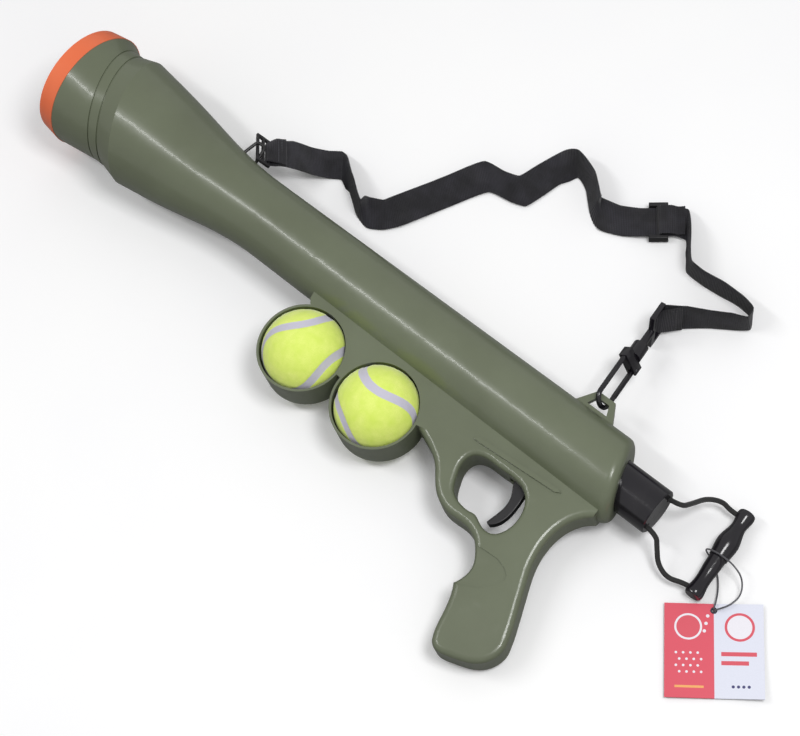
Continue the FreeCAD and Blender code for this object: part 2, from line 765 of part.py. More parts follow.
def coil(radius, pitch, turns, wire, legs=0.0):
    """A coil of round wire along X that starts at X zero, with straight legs if wanted."""
    rows = coil_points(radius, pitch, turns)
    edges = []
    if legs:
        edges.append(Part.LineSegment(rows[0][0] - rows[0][1] * legs, rows[0][0]).toShape())
    for (start, begin), (end, finish) in zip(rows, rows[1:]):
        edges.extend(twin_arcs(start, begin, end, finish))
    if legs:
        edges.append(Part.LineSegment(rows[-1][0], rows[-1][0] + rows[-1][1] * legs).toShape())
    return pipe([Part.Edge(edge) for edge in Part.sortEdges(edges)[0]], wire)


wire = number("spring_wire_radius")
spring_low = number(TUBE_START) + wire + 0.3
spring_high = number("stop_place") - wire - 0.3
turns = int(number("spring_turns"))
spring_shape = coil(number("plunger_radius + spring_gap") + wire, (spring_high - spring_low) / turns, turns, wire)
drive_spring = shaped("drive_spring", spring_shape)
drive_spring.Placement = Placement(Vector(spring_low, 0, 0), Rotation())
print("drive spring", round(drive_spring.Shape.Volume), "least gap between turns",
      round((spring_high - spring_low) / turns - 2 * wire, 2), drive_spring.Shape.isValid())

# Trigger, sear, their pins and their torsion springs.
TRIGGER_X = number("trigger_pivot_x")
TRIGGER_Y = number("trigger_pivot_y")
SEAR_X = number("sear_pivot_x")
SEAR_Y = number("sear_pivot_y")

BLADE_FRONT = [(-4.1, -1), (-8.5, -8.5), (-6, -13), (-2.7, -20), (-2.2, -28), (-4.5, -39), (-5.2, -42.5)]
BLADE_BACK = [(-2, -43.3), (2, -39), (5, -29), (4.8, -17), (4, -9), (4.1, -0.8)]


def moved(points, across, up):
    return [(x + across, y + up) for x, y in points]


def trigger_blade():
    """The curved finger blade with its rounded edges."""
    owner = body("trigger_blade", finished=False)
    drawing = sketch(owner)
    front = moved(BLADE_FRONT, TRIGGER_X, TRIGGER_Y)
    back = moved(BLADE_BACK, TRIGGER_X, TRIGGER_Y)
    spline(drawing, front)
    chain(drawing, [front[-1], back[0]])
    spline(drawing, back)
    chain(drawing, [back[-1], front[0]])
    pad = owner.newObject("PartDesign::Pad", "blade_pad")
    pad.Profile = drawing
    pad.Midplane = True
    pad.setExpression("Length", bound("trigger_thickness"))
    doc.recompute()
    names = face_edges(pad.Shape, number("trigger_thickness / 2"), lambda edge: "Line" not in edge.Curve.TypeId)
    rounded_over(owner, pad, "blade_edge", names, "trigger_thickness / 7")
    return owner


HALF_TRIGGER = "trigger_thickness / 2"
trigger_hub = cylinder("trigger_hub", "trigger_hub_radius", "trigger_thickness",
                       ("trigger_pivot_x", "trigger_pivot_y", "-" + HALF_TRIGGER))
trigger_arm = block("trigger_arm", ("trigger_pivot_x - 12", "trigger_pivot_y + 1.8", "-" + HALF_TRIGGER),
                    ("12", "2.3", "trigger_thickness"))
trigger_hole = cylinder("trigger_hole", "pin_radius + running_gap", "trigger_thickness + 2",
                        ("trigger_pivot_x", "trigger_pivot_y", "-" + HALF_TRIGGER + " - 1"))
trigger = keep(cut("trigger_cut", joined("trigger_solid", [trigger_blade(), trigger_hub, trigger_arm]), trigger_hole),
               "trigger")

NOSE = number("-plunger_radius - 0.3 - sear_pivot_y")
SEAR = [(0, 2.3), (21, 2.3), (21, NOSE), (29, NOSE), (29, 1), (39, 1), (39, -1.8), (0, -1.8)]
sear_bar = plate("sear_bar", moved(SEAR, SEAR_X, SEAR_Y), "sear_thickness", finished=False)
sear_hub = cylinder("sear_hub", "sear_hub_radius", "sear_thickness",
                    ("sear_pivot_x", "sear_pivot_y", "-sear_thickness / 2"))
sear_hole = cylinder("sear_hole", "pin_radius + running_gap", "sear_thickness + 2",
                     ("sear_pivot_x", "sear_pivot_y", "-sear_thickness / 2 - 1"))
sear = keep(cut("sear_cut", joined("sear_solid", [sear_bar, sear_hub]), sear_hole), "sear")

for name, across, up in PINS:
    keep(cylinder(name + "_pin_round", "pin_radius", "2 * (%s) - 0.4" % PIN_END, (across, up, "0.2 - (%s)" % PIN_END)),
         name + "_pin")
    torsion = shaped(name + "_spring", coil(number("torsion_radius"), number("torsion_pitch"),
                                            int(number("torsion_turns")), number("torsion_wire_radius"),
                                            number("torsion_leg")))
    start = number("trigger_thickness / 2 + torsion_wire_radius + 0.35")
    torsion.Placement = Placement(Vector(number(across), number(up), start), Rotation(Vector(0, 1, 0), -90))

# Screws that hold the two shells together, put in from the right side.
screws = []
SHANK_LENGTH = "frame_thickness - screw_head_height - shell_wall - 3 - seat_gap"
for index, (across, up) in enumerate(SCREW_PLACES):
    spot = (str(across), str(up))
    head = cylinder("screw_head_%d" % index, "screw_head_radius", "screw_head_height", spot + ("-frame_thickness / 2",))
    shank = cylinder("screw_shank_%d" % index, "screw_radius", SHANK_LENGTH,
                     spot + ("screw_head_height - frame_thickness / 2",))
    screws.append(joined("screw_%d" % index, [head, shank]))
shell_screws = keep(joined("screw_set", screws), "shell_screws")

# Balls that lie on the lips of their holders, each a rubber core under felt.
LIP_RADIUS = "(ball_radius + ball_clearance - holder_lip_width)"
BALL_LIFT = "holder_lip_height - frame_thickness / 2 + 0.65 + sqrt(ball_radius ^ 2 - %s ^ 2)" % LIP_RADIUS


def sphere(name, radius, base):
    made = doc.addObject("Part::Sphere", name)
    made.setExpression("Radius", bound(radius))
    for letter, text in zip("xyz", base):
        made.setExpression("Placement.Base." + letter, bound(text))
    return made


for name, place in BALLS:
    centre = (place, "-ball_drop", BALL_LIFT)
    felt_radius = "ball_radius - ball_felt_thickness"
    keep(cut(name + "_felt_cut", sphere(name + "_outside", "ball_radius", centre),
             sphere(name + "_under", felt_radius, centre)), name + "_felt")
    keep(cut(name + "_core_cut", sphere(name + "_rubber", felt_radius, centre),
             sphere(name + "_air", felt_radius + " - ball_core_wall", centre)), name + "_core")

# Cords: straight runs joined by arcs as large as the runs allow.


def cord(points, radius, label):
    """A round cord along hand-set points; it prints its radii and its length."""
    edges = []
    start = points[0]
    radii = []
    for index in range(1, len(points) - 1):
        before = points[index] - points[index - 1]
        after = points[index + 1] - points[index]
        half_turn = before.getAngle(after) / 2
        reach = 0.45 * min(before.Length, after.Length)
        bend = reach / math.tan(half_turn)
        radii.append(round(bend, 1))
        before.normalize()
        after.normalize()
        entry = points[index] - before * reach
        leave = points[index] + after * reach
        crown = points[index] + (after - before).normalize() * (bend / math.cos(half_turn) - bend)
        edges.append(Part.LineSegment(start, entry).toShape())
        edges.append(Part.Arc(entry, crown, leave).toShape())
        start = leave
    edges.append(Part.LineSegment(start, points[-1]).toShape())
    length = sum(edge.Length for edge in edges)
    solid = pipe(edges, radius)
    expected = math.pi * radius ** 2 * length
    print(label, "length", round(length, 1), "radii", radii, "volume", round(solid.Volume / expected, 4))
    return solid


# Pull handle: two turned halves on one axis, lying on the table behind the plunger.
HANDLE_HEIGHT = number("handle_middle_radius + 0.1")
handle_low = table(636.3, -28, HANDLE_HEIGHT)
handle_high = table(629, 42.5, HANDLE_HEIGHT)
handle_axis = (handle_high - handle_low).normalize()
handle_middle = (handle_high + handle_low) * 0.5
towards_cap = Vector(-1, 0, 0)
towards_cap = (towards_cap - handle_axis * towards_cap.dot(handle_axis)).normalize()
handle_place = Placement(handle_middle, Rotation(handle_axis, towards_cap, Vector(), "XYZ"))
HALF_HANDLE = number("handle_length / 2")
SEAM = -3.0
END = number("handle_end_radius")
WAIST = number("handle_waist_radius")
MIDDLE = number("handle_middle_radius")
SEAM_RADIUS = number("handle_seam_radius")
UPPER_PROFILE = [(SEAM, SEAM_RADIUS + 0.6), (4, MIDDLE - 0.4), (11, MIDDLE), (19, MIDDLE - 1.8), (25, WAIST),
                 (30, END - 0.5), (34, END), (HALF_HANDLE - 0.6, END - 0.5)]
LOWER_PROFILE = [(0.6 - HALF_HANDLE, END - 0.5), (-34, END), (-29, END - 0.6), (-23, WAIST), (-14, WAIST + 0.5),
                 (-7, SEAM_RADIUS - 0.1), (SEAM, SEAM_RADIUS)]


def handle_half(label, profile, end_cap):
    """Half of the handle, turned from a smooth outline."""
    owner = body(label + "_turned", finished=False)
    drawing = sketch(owner)
    spline(drawing, profile)
    first, last = profile[0], profile[-1]
    if end_cap > 0:
        chain(drawing, [last, (HALF_HANDLE, last[1] - 0.7), (HALF_HANDLE, 0), (first[0], 0), first])
    else:
        chain(drawing, [last, (last[0], 0), (-HALF_HANDLE, 0), (-HALF_HANDLE, first[1] - 0.7), first])
    spin = owner.newObject("PartDesign::Revolution", label + "_turn")
    spin.Profile = drawing
    spin.ReferenceAxis = (drawing, ["H_Axis"])
    spin.Angle = 360
    doc.recompute()
    return owner


HOLE_PLACE = HALF_HANDLE - 5
HOLE_START = 2.0
for side, profile, sign in (("upper", UPPER_PROFILE, 1), ("lower", LOWER_PROFILE, -1)):
    half = handle_half("handle_" + side, profile, sign)
    bore = doc.addObject("Part::Cylinder", "handle_bore_" + side)
    bore.setExpression("Radius", bound("cord_radius + 3 * running_gap"))
    bore.Height = 20
    bore.Placement = Placement(Vector(sign * HOLE_PLACE, HOLE_START, 0), Rotation(Vector(1, 0, 0), -90))
    drilled = keep(cut("handle_cut_" + side, half, bore), "handle_%s_half" % side)
    drilled.Placement = handle_place


def on_handle(along, out):
    """A point by its place along the handle and its distance towards the cap."""
    return handle_middle + handle_axis * along + towards_cap * out


KNOT_FACE = number(CAP_START + " - cap_spigot_length")
SPREAD = number("cord_spread")
CORD = number("cord_radius")
upper_route = [Vector(KNOT_FACE, SPREAD, 0), Vector(592.5, SPREAD, 0), Vector(597, 22.5, -9),
               Vector(600.5, 33, -17), Vector(610, 39.5, -21.5), on_handle(HOLE_PLACE, 11),
               on_handle(HOLE_PLACE, HOLE_START)]
lower_route = [Vector(KNOT_FACE, -SPREAD, 0), Vector(592, -SPREAD, 0), Vector(598, -19.5, -8.5),
               Vector(604, -26.5, -14.5), Vector(615, -30, -16.8), on_handle(-HOLE_PLACE, 10),
               on_handle(-HOLE_PLACE, HOLE_START)]
for side, route in (("upper", upper_route), ("lower", lower_route)):
    shaped("pull_cord_" + side, cord(route, CORD, "pull cord " + side))


def lying(across, along, heading, height):
    """A placement on the table whose X axis points along the heading, in degrees."""
    up = Vector(-number("table_slope_x"), -number("table_slope_y"), 1).normalize()
    ahead = Vector(math.cos(math.radians(heading)), math.sin(math.radians(heading)), 0)
    ahead = (ahead - up * ahead.dot(up)).normalize()
    return Placement(table(across, along, height), Rotation(ahead, up.cross(ahead), up, "ZXY"))


# Hang tag: a card on the table, an eyelet in its top edge and a thin cord round the handle.
TAG_SPOT = (671.5, -50.0)
TAG_HEADING = -52.0
card = doc.addObject("Part::Box", "card")
for side_name, text in (("Length", "tag_side"), ("Width", "tag_side"), ("Height", "tag_thickness")):
    card.setExpression(side_name, bound(text))
for letter in "xy":
    card.setExpression("Placement.Base." + letter, bound("-tag_side / 2"))
EYELET_IN = "5 - tag_side / 2"
card_hole = cylinder("card_hole", "eyelet_radius - 0.5", "4", (EYELET_IN, "0", "-1"))
hang_tag = keep(cut("card_cut", card, card_hole), "hang_tag")
hang_tag.Placement = lying(*TAG_SPOT, TAG_HEADING, 0.5)
eyelet_tube = cylinder("eyelet_tube", "eyelet_radius - 0.5", "tag_thickness + 0.8", (EYELET_IN, "0", "-0.4"))
eyelet_rims = [cylinder("eyelet_rim_%d" % index, "eyelet_radius", "0.4", (EYELET_IN, "0", level))
               for index, level in enumerate(("-0.4", "tag_thickness"))]
eyelet_hole = cylinder("eyelet_hole", "eyelet_radius - 1", "6", (EYELET_IN, "0", "-2"))
tag_eyelet = keep(cut("eyelet_cut", joined("eyelet_solid", [eyelet_tube] + eyelet_rims), eyelet_hole), "tag_eyelet")
tag_eyelet.Placement = lying(*TAG_SPOT, TAG_HEADING, 0.5)
TAG_ROUTE = [(653.96, -27.33, 0.7), (653.88, -27.07, 3.2), (656.2, -24.2, 4.9), (660.3, -17.5, 4.6),
             (662, -7, 5.0), (656, 2.5, 9.5), (646, 5.4, 15.0), (636, 5.4, 17.6), (626.5, 4.6, 15.5),
             (622.2, 4.0, 9.0), (624.2, 3.4, 3.0), (632, 1.4, 1.2), (641, -6, 1.1), (647, -14, 1.4),
             (650.5, -20.5, 2.6), (652.2, -24.2, 4.4), (652.93, -26.31, 3.1), (653.01, -26.56, 0.7)]
tag_points = [table(*place) for place in TAG_ROUTE]
tag_loop = shaped("tag_loop", cord(tag_points, number("tag_cord_radius"), "tag cord"))

# Carry strap: flat webbing given as pairs of edge points, each a place and a height over the table.
EYE_LOW = (487.6, 123.9, 2.4)
EYE_HIGH = (485.3, 131.8, 27.0)
WEBBING = [
    ((171.5, BELL_SIDE + 5.1, 41.3), (155.0, BELL_SIDE + 19.7, 31.7)),
    ((176, BELL_SIDE + 9.2, 38), (158, BELL_SIDE + 27.2, 34)), ((181, 51, 24), (163, 69, 26)),
    ((188.5, 60, 9), (171, 77, 12)), ((197, 68, 1), (180, 86, 2.5)), ((205, 73, 1), (190, 92, 3)),
    ((219, 68, 1), (220, 75, 25)), ((238, 56, 1), (241, 62, 25)), ((253, 54, 1), (239, 71, 11)),
    ((263, 60, 1), (247, 78, 5)), ((272, 71, 1), (253, 86, 9)), ((290, 107, 1), (272, 123, 8)),
    ((306, 136, 1), (289, 152, 11)), ((326, 140, 1), (309, 154, 13)), ((337, 144, 1), (319, 159, 9)),
    ((342, 160, 1), (322, 174, 6)), ((346, 177, 1), (329, 194, 7)), ((353, 189, 1), (345, 200, 22)),
    ((365, 184, 1), (369, 193, 24)), ((380, 171, 1), (386, 179, 23)), ((395, 163, 1), (384, 181, 13)),
    ((412, 168, 1), (397, 188, 5)), ((427, 177, 4.2), (411.5, 196.5, 4.2)), ((446, 192, 4.2), (430.5, 211.5, 4.2)),
    ((455, 195, 2.6), (441.5, 215, 9)), ((464, 184, 1), (461, 194, 23.5)), ((472, 174, 1), (476, 176, 25.5)),
    ((487, 172, 1), (488, 174, 26)), ((505, 173, 1), (506, 175, 26)), ((522, 174, 1), (524, 175, 26)),
    ((534, 172, 1), (536, 172, 26)), ((539, 164, 1), (538, 163, 26)), ((530, 156, 1), (526, 158, 25.5)),
    ((517, 148, 1), (514, 151, 25.5)), ((500.5, 135.5, 1), (496.5, 142.5, 25.5)), (EYE_LOW, EYE_HIGH),
]


def webbing(stations, label):
    """Flat webbing through its edge pairs, as thick as the sheet says."""
    rows = [(table(*low), table(*high)) for low, high in stations]
    middles = [(low + high) * 0.5 for low, high in rows]
    rings = []
    width = number("webbing_width")
    thickness = number("webbing_thickness")
    for index, (low, high) in enumerate(rows):
        ahead = middles[min(index + 1, len(rows) - 1)] - middles[max(index - 1, 0)]
        across = (high - low).normalize()
        face = across.cross(ahead).normalize() * (-thickness / 2)
        edge = across * (width / 2)
        middle = middles[index]
        rings.append([middle - edge - face, middle + edge - face, middle + edge + face, middle - edge + face])
    faces = [Part.Face(Part.makePolygon(ring + ring[:1])) for ring in (rings[0], rings[-1])]
    for first, second in zip(rings, rings[1:]):
        for index in range(4):
            after = (index + 1) % 4
            patch = Part.BezierSurface()
            for row, ring in ((1, first), (2, second)):
                patch.setPole(row, 1, ring[index])
                patch.setPole(row, 2, ring[after])
            faces.append(patch.toShape())
    sewn = Part.makeCompound(faces)
    sewn.sewShape()
    solid = Part.makeSolid(sewn.Shells[0] if sewn.Shells else sewn)
    if solid.Volume < 0:
        solid.reverse()
    run = sum(start.distanceToPoint(end) for start, end in zip(middles, middles[1:]))
    share = solid.Volume / (run * width * thickness)
    print(label, "length", round(run), "valid", solid.isValid(), "share", round(share, 3))
    return solid


strap_webbing = shaped("strap_webbing", webbing(WEBBING, "strap webbing"))


def facing(origin, across, ahead):
    """A placement whose X axis lies across and whose Y axis points roughly ahead."""
    across = Vector(across).normalize()
    ahead = Vector(ahead)
    ahead = (ahead - across * ahead.dot(across)).normalize()
    return Placement(origin, Rotation(across, ahead, Vector(), "XYZ"))


def bar_slide(label, width_expression):
    """A flat buckle with two slots and a middle bar."""
    half_long = "slide_length / 2"
    half_wide = width_expression + " / 2"
    outside = block(label + "_outside", ("-" + half_long, "-" + half_wide, "-slide_thickness / 2"),
                    ("slide_length", width_expression, "slide_thickness"))
    slots = []
    for index, base in enumerate(("-%s + slide_bar" % half_wide, "slide_bar / 2")):
        spans = ("slide_length - 3 * slide_bar", "%s - 1.5 * slide_bar" % half_wide, "2 * slide_thickness")
        low = ("slide_bar * 1.5 - " + half_long, base, "-slide_thickness")
        slots.append(block("%s_slot_%d" % (label, index), low, spans))
    return keep(cut(label + "_cut", outside, joined(label + "_slots", slots)), label)


front_slide = bar_slide("front_slide", "slide_width")
front_slide.Placement = facing(Vector(158.2, BELL_SIDE + 10.8, -6.7), (0.70, -0.62, 0.50), (0.45, 0.35, -0.80))

# Adjuster on the straight stretch of the webbing: its outer bars lie over it, its middle bar under it.
low, high = [(Vector(*first) + Vector(*second)) * 0.5 for first, second in zip(WEBBING[22], WEBBING[23])]
ADJUSTER_SPOT = (low + high) * 0.5
adjuster_out = block("adjuster_outside", ("-slide_length / 2 + 2", "-adjuster_width / 2", "-adjuster_thickness / 2"),
                     ("slide_length - 4", "adjuster_width", "adjuster_thickness"))
ROOM = "webbing_width / 2 + soft_gap + 0.2"
FACE = "(webbing_thickness / 2 + soft_gap)"
adjuster_middle = block("adjuster_under", ("-(%s)" % ROOM, "-adjuster_width", "-" + FACE),
                        ("2 * (%s)" % ROOM, "2 * adjuster_width", "2 * " + FACE))
adjuster_gaps = []
for index, sign in enumerate((1, -1)):
    base = "adjuster_bar / 2" if sign > 0 else "-adjuster_width"
    adjuster_gaps.append(block("adjuster_below_%d" % index, ("-(%s)" % ROOM, base, "-adjuster_thickness"),
                               ("2 * (%s)" % ROOM, "adjuster_width - adjuster_bar / 2", "adjuster_thickness")))
adjuster_gaps.append(block("adjuster_above", ("-(%s)" % ROOM, "adjuster_bar * 1.15 - adjuster_width / 2", "0"),
                           ("2 * (%s)" % ROOM, "adjuster_width - 2.3 * adjuster_bar", "adjuster_thickness")))
adjuster_slide = keep(cut("adjuster_cut", adjuster_out, joined("adjuster_room", [adjuster_middle] + adjuster_gaps)),
                      "adjuster_slide")
edge_low = table(*WEBBING[22][0])
edge_high = table(*WEBBING[22][1])
along_strap = table(*WEBBING[23][0]) - edge_low
adjuster_slide.Placement = facing(table(*ADJUSTER_SPOT), edge_high - edge_low, along_strap)

# Snap hook in the lug: rod, base with a slot for the gate, swivel barrel, and an eye for the webbing.
HOOK_START = Vector(502.2, number(LUG_ROOT) + 8.7, 0)
HOOK_END = (table(*EYE_LOW) + table(*EYE_HIGH)) * 0.5
HOOK_AXIS = (HOOK_END - HOOK_START).normalize()
HOOK_SIDE = Vector(0.5, 0, -0.87)
HOOK_SHIFT = -2.0
hook_turn = facing(HOOK_START, HOOK_AXIS, HOOK_SIDE)
hook_place = Placement(hook_turn.multVec(Vector(0, HOOK_SHIFT, 0)), hook_turn.Rotation)
HALF = number("hook_half_width")
ROD = number("hook_rod_radius")
NOSE_PLACE = 15.0
BASE_PLACE = 42.0
HINGE_PLACE = 45.0
hook_edges = [Part.LineSegment(Vector(BASE_PLACE + 2, -HALF, 0), Vector(HALF, -HALF, 0)).toShape(),
              Part.Arc(Vector(HALF, -HALF, 0), Vector(0, 0, 0), Vector(HALF, HALF, 0)).toShape(),
              Part.LineSegment(Vector(HALF, HALF, 0), Vector(NOSE_PLACE, HALF, 0)).toShape()]
hook_rod = shaped("hook_rod", pipe(hook_edges, ROD), finished=False)
hook_base = block("hook_base", (str(BASE_PLACE), "-hook_half_width - hook_rod_radius - 0.6", "-3.4"),
                  ("9", "2 * hook_half_width + 2 * hook_rod_radius + 1.2", "6.8"))
hook_barrel = cylinder("hook_barrel", "2 * swivel_stem_radius", "13", (str(BASE_PLACE + 8.5), "0", "0"), "X")
gate_slot = block("gate_slot", (str(BASE_PLACE - 1), "hook_half_width - 3.1", "-1.6"), ("7.6", "12", "3.2"))
pin_hole = cylinder("gate_pin_hole", "0.95", "8", (str(HINGE_PLACE), "hook_half_width", "-4"))
stem_hole = cylinder("stem_hole", "swivel_stem_radius + running_gap", "12", (str(BASE_PLACE + 11.5), "0", "0"), "X")
snap_hook = keep(cut("hook_cut", joined("hook_solid", [hook_rod, hook_base, hook_barrel]),
                     joined("hook_holes", [gate_slot, pin_hole, stem_hole])), "snap_hook")
gate_hub = cylinder("gate_hub", "2", "3", (str(HINGE_PLACE), "hook_half_width", "-1.5"))
gate_bar = block("gate_bar", (str(NOSE_PLACE + 0.3), "hook_half_width - 1.6", "-1.5"),
                 ("%s - %s" % (HINGE_PLACE, NOSE_PLACE + 0.3), "3.2", "3"))
gate_hole = cylinder("gate_hole", "0.95", "8", (str(HINGE_PLACE), "hook_half_width", "-4"))
hook_gate = keep(cut("gate_cut", joined("gate_solid", [gate_hub, gate_bar]), gate_hole), "hook_gate")
gate_pin = keep(cylinder("gate_pin_round", "0.9", "6.8", ("0", "0", "0")), "gate_pin")
EYE_END = HOOK_START.distanceToPoint(HOOK_END) - 0.9
EYE_START = BASE_PLACE + 36.0
eye_stem = cylinder("eye_stem", "swivel_stem_radius", str(EYE_START - BASE_PLACE - 11),
                    (str(BASE_PLACE + 12.5), "0", "0"), "X")
eye_frame = block("eye_frame", (str(EYE_START), "-webbing_width / 2 - 3.5", "-1.9"),
                  (str(EYE_END - EYE_START), "webbing_width + 7", "3.8"))
eye_slot = block("eye_slot", (str(EYE_START + 5), "-webbing_width / 2 - 0.5", "-4"),
                 (str(EYE_END - EYE_START - 9.5), "webbing_width + 1", "8"))
swivel_eye = keep(cut("eye_cut", joined("eye_solid", [eye_stem, eye_frame]), eye_slot), "swivel_eye")
for piece in (snap_hook, hook_gate):
    piece.Placement = hook_place
gate_pin.Placement = hook_place.multiply(Placement(Vector(HINGE_PLACE, HALF, -3.4), Rotation()))
eye_turn = facing(HOOK_START, HOOK_AXIS, Vector(-0.06, 0.14, 0.988))
swivel_eye.Placement = Placement(hook_place.Base, eye_turn.Rotation)

# Everything is checked before a single file is written.
doc.recompute()
broken = [thing.Label for thing in doc.Objects if "Invalid" in thing.State or "Error" in thing.State]
if broken:
    raise RuntimeError("objects that failed: %s" % broken)
for label, thing in parts.items():
    if thing.Shape.isNull() or not thing.Shape.isValid() or not thing.Shape.Solids:
        raise RuntimeError("%s has no valid solid" % label)
os.makedirs("parts", exist_ok=True)
for label, thing in parts.items():
    thing.Shape.exportStep("parts/%s.step" % label)
print(len(parts), "pieces written")
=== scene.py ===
"""Looks of a shoulder-style ball launcher for dogs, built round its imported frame."""

import logging
import math
from collections.abc import Iterator
from contextlib import contextmanager
from dataclasses import dataclass
from enum import Enum

import bpy
import numpy as np
from mathutils import Matrix, Vector


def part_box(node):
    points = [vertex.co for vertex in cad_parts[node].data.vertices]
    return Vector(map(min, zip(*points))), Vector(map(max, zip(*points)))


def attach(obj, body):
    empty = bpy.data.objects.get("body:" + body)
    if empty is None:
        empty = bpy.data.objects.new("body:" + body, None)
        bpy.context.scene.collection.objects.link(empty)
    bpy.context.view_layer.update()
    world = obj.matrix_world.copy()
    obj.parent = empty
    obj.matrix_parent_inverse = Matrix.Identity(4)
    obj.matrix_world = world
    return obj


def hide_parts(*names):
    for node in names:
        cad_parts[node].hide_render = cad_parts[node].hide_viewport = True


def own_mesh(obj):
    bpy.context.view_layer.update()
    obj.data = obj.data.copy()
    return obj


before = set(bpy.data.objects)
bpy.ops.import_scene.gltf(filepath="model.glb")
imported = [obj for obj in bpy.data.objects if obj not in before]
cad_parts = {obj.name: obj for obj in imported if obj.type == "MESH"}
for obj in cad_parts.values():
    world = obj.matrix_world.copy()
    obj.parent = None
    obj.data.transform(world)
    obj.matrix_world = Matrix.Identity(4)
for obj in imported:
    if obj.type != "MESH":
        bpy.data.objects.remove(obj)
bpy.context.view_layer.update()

logging.basicConfig(level=logging.INFO, format="%(message)s")
LOG = logging.getLogger("ball_launcher")

MM = 0.001
Point = tuple[float, float, float]
Rgb = tuple[float, float, float]
Station = tuple[Vector, Vector]
Row = tuple[Vector, Vector]

# The table under the launcher, a plane that leans a little in the launcher's own frame.
TABLE_DROP = -49.3
TABLE_SLOPE_X = 0.0337
TABLE_SLOPE_Y = -0.104


class Body(Enum):
    """The bodies that pieces ride on."""

    HOUSING = "housing"
    PLUNGER = "plunger"
    FRONT_BALL = "front_ball"
    REAR_BALL = "rear_ball"
    HOOK = "hook"
    GATE = "hook_gate"
    ADJUSTER = "adjuster"


class Pattern(Enum):
    """The relief that a finish adds to its surface."""

    GRAIN = "grain"
    NAP = "nap"
    RIBS = "ribs"
    BRAID = "braid"
    BRUSHED = "brushed"


def linear(colour: Rgb) -> tuple[float, float, float, float]:
    """Turn a display colour into the linear colour that a shader socket takes.

    Args:
        colour: red, green and blue from 0 to 1 as a screen shows them.

    Returns:
        The linear red, green and blue with an alpha of 1.
    """
    parts = [c / 12.92 if c <= 0.04045 else ((c + 0.055) / 1.055) ** 2.4 for c in colour]
    return (parts[0], parts[1], parts[2], 1.0)


def on_table(x: float, y: float, height: float = 0.0) -> Vector:
    """Give the point over the table, in metres, for a place and a height in millimetres."""
    return Vector((x, y, TABLE_DROP + TABLE_SLOPE_X * x + TABLE_SLOPE_Y * y + height)) * MM


def deselect() -> None:
    """Clear the selection, because operators act on all that is selected."""
    bpy.ops.object.select_all(action="DESELECT")


def choose(piece: bpy.types.Object) -> bpy.types.Object:
    """Select one object alone and make it active.

    Args:
        piece: the object that the next operator works on.

    Returns:
        The same object.
    """
    deselect()
    piece.select_set(True)
    bpy.context.view_layer.objects.active = piece
    return piece


def linked(piece: bpy.types.Object) -> bpy.types.Object:
    """Put a new object into the scene and give it back."""
    bpy.context.scene.collection.objects.link(piece)
    return piece


def made(name: str) -> bpy.types.Object:
    """Name the object that the last operator made, and give it."""
    piece = bpy.context.view_layer.objects.active
    piece.name = name
    return piece


@contextmanager
def edit_mode(piece: bpy.types.Object, every: bool = True) -> Iterator[None]:
    """Work on a piece's mesh in edit mode.

    Args:
        piece: the piece to edit.
        every: whether all of the mesh is selected first.
    """
    choose(piece)
    bpy.ops.object.mode_set(mode="EDIT")
    if every:
        bpy.ops.mesh.select_all(action="SELECT")
    yield
    bpy.ops.object.mode_set(mode="OBJECT")


def apply_modifiers(piece: bpy.types.Object) -> None:
    """Apply every modifier of a piece in its order."""
    choose(piece)
    for modifier in list(piece.modifiers):
        bpy.ops.object.modifier_apply(modifier=modifier.name)


def settle(piece: bpy.types.Object) -> None:
    """Put a piece's place, turn and scale into its mesh."""
    choose(piece)
    bpy.ops.object.transform_apply(location=True, rotation=True, scale=True)


def smooth(piece: bpy.types.Object, angle: float = 40.0) -> None:
    """Shade a piece smooth apart from edges sharper than an angle in degrees."""
    choose(piece)
    bpy.ops.object.shade_smooth_by_angle(angle=math.radians(angle))


def from_points(name: str, points: list[Vector], faces: list[tuple[int, ...]]) -> bpy.types.Object:
    """Make a mesh object from points and faces.

    Args:
        name: the name of the piece.
        points: corner places in metres.
        faces: the corners of each face, by number.

    Returns:
        The new object, linked to the scene.
    """
    mesh = bpy.data.meshes.new(name)
    mesh.from_pydata([tuple(point) for point in points], [], faces)
    mesh.validate()
    return linked(bpy.data.objects.new(name, mesh))


def new_group(name: str, inputs: dict[str, float | None], outputs: tuple[str, ...]) -> tuple:
    """Make a shader group with named sockets and keep it for the materials.

    Args:
        name: the group's name.
        inputs: each input's name with its first value, which is None for a vector.
        outputs: the names of the outputs, all of them numbers.

    Returns:
        The group's wiring, the sockets that its inputs give and the sockets that its outputs take.
    """
    group = bpy.data.node_groups.new(name, "ShaderNodeTree")
    GROUPS[name] = group
    for label, value in inputs.items():
        kind = "NodeSocketVector" if value is None else "NodeSocketFloat"
        socket = group.interface.new_socket(name=label, in_out="INPUT", socket_type=kind)
        if value is not None:
            socket.default_value = value
    for label in outputs:
        group.interface.new_socket(name=label, in_out="OUTPUT", socket_type="NodeSocketFloat")
    given, result = group.nodes.new("NodeGroupInput"), group.nodes.new("NodeGroupOutput")
    return Wiring(group), given.outputs, result.inputs


def new_material(name: str) -> tuple:
    """Make a material with nodes.

    Args:
        name: the material's name.

    Returns:
        The material, its wiring and its shader node.
    """
    material = bpy.data.materials.new(name)
    material.use_nodes = True
    return material, Wiring(material.node_tree), material.node_tree.nodes["Principled BSDF"]


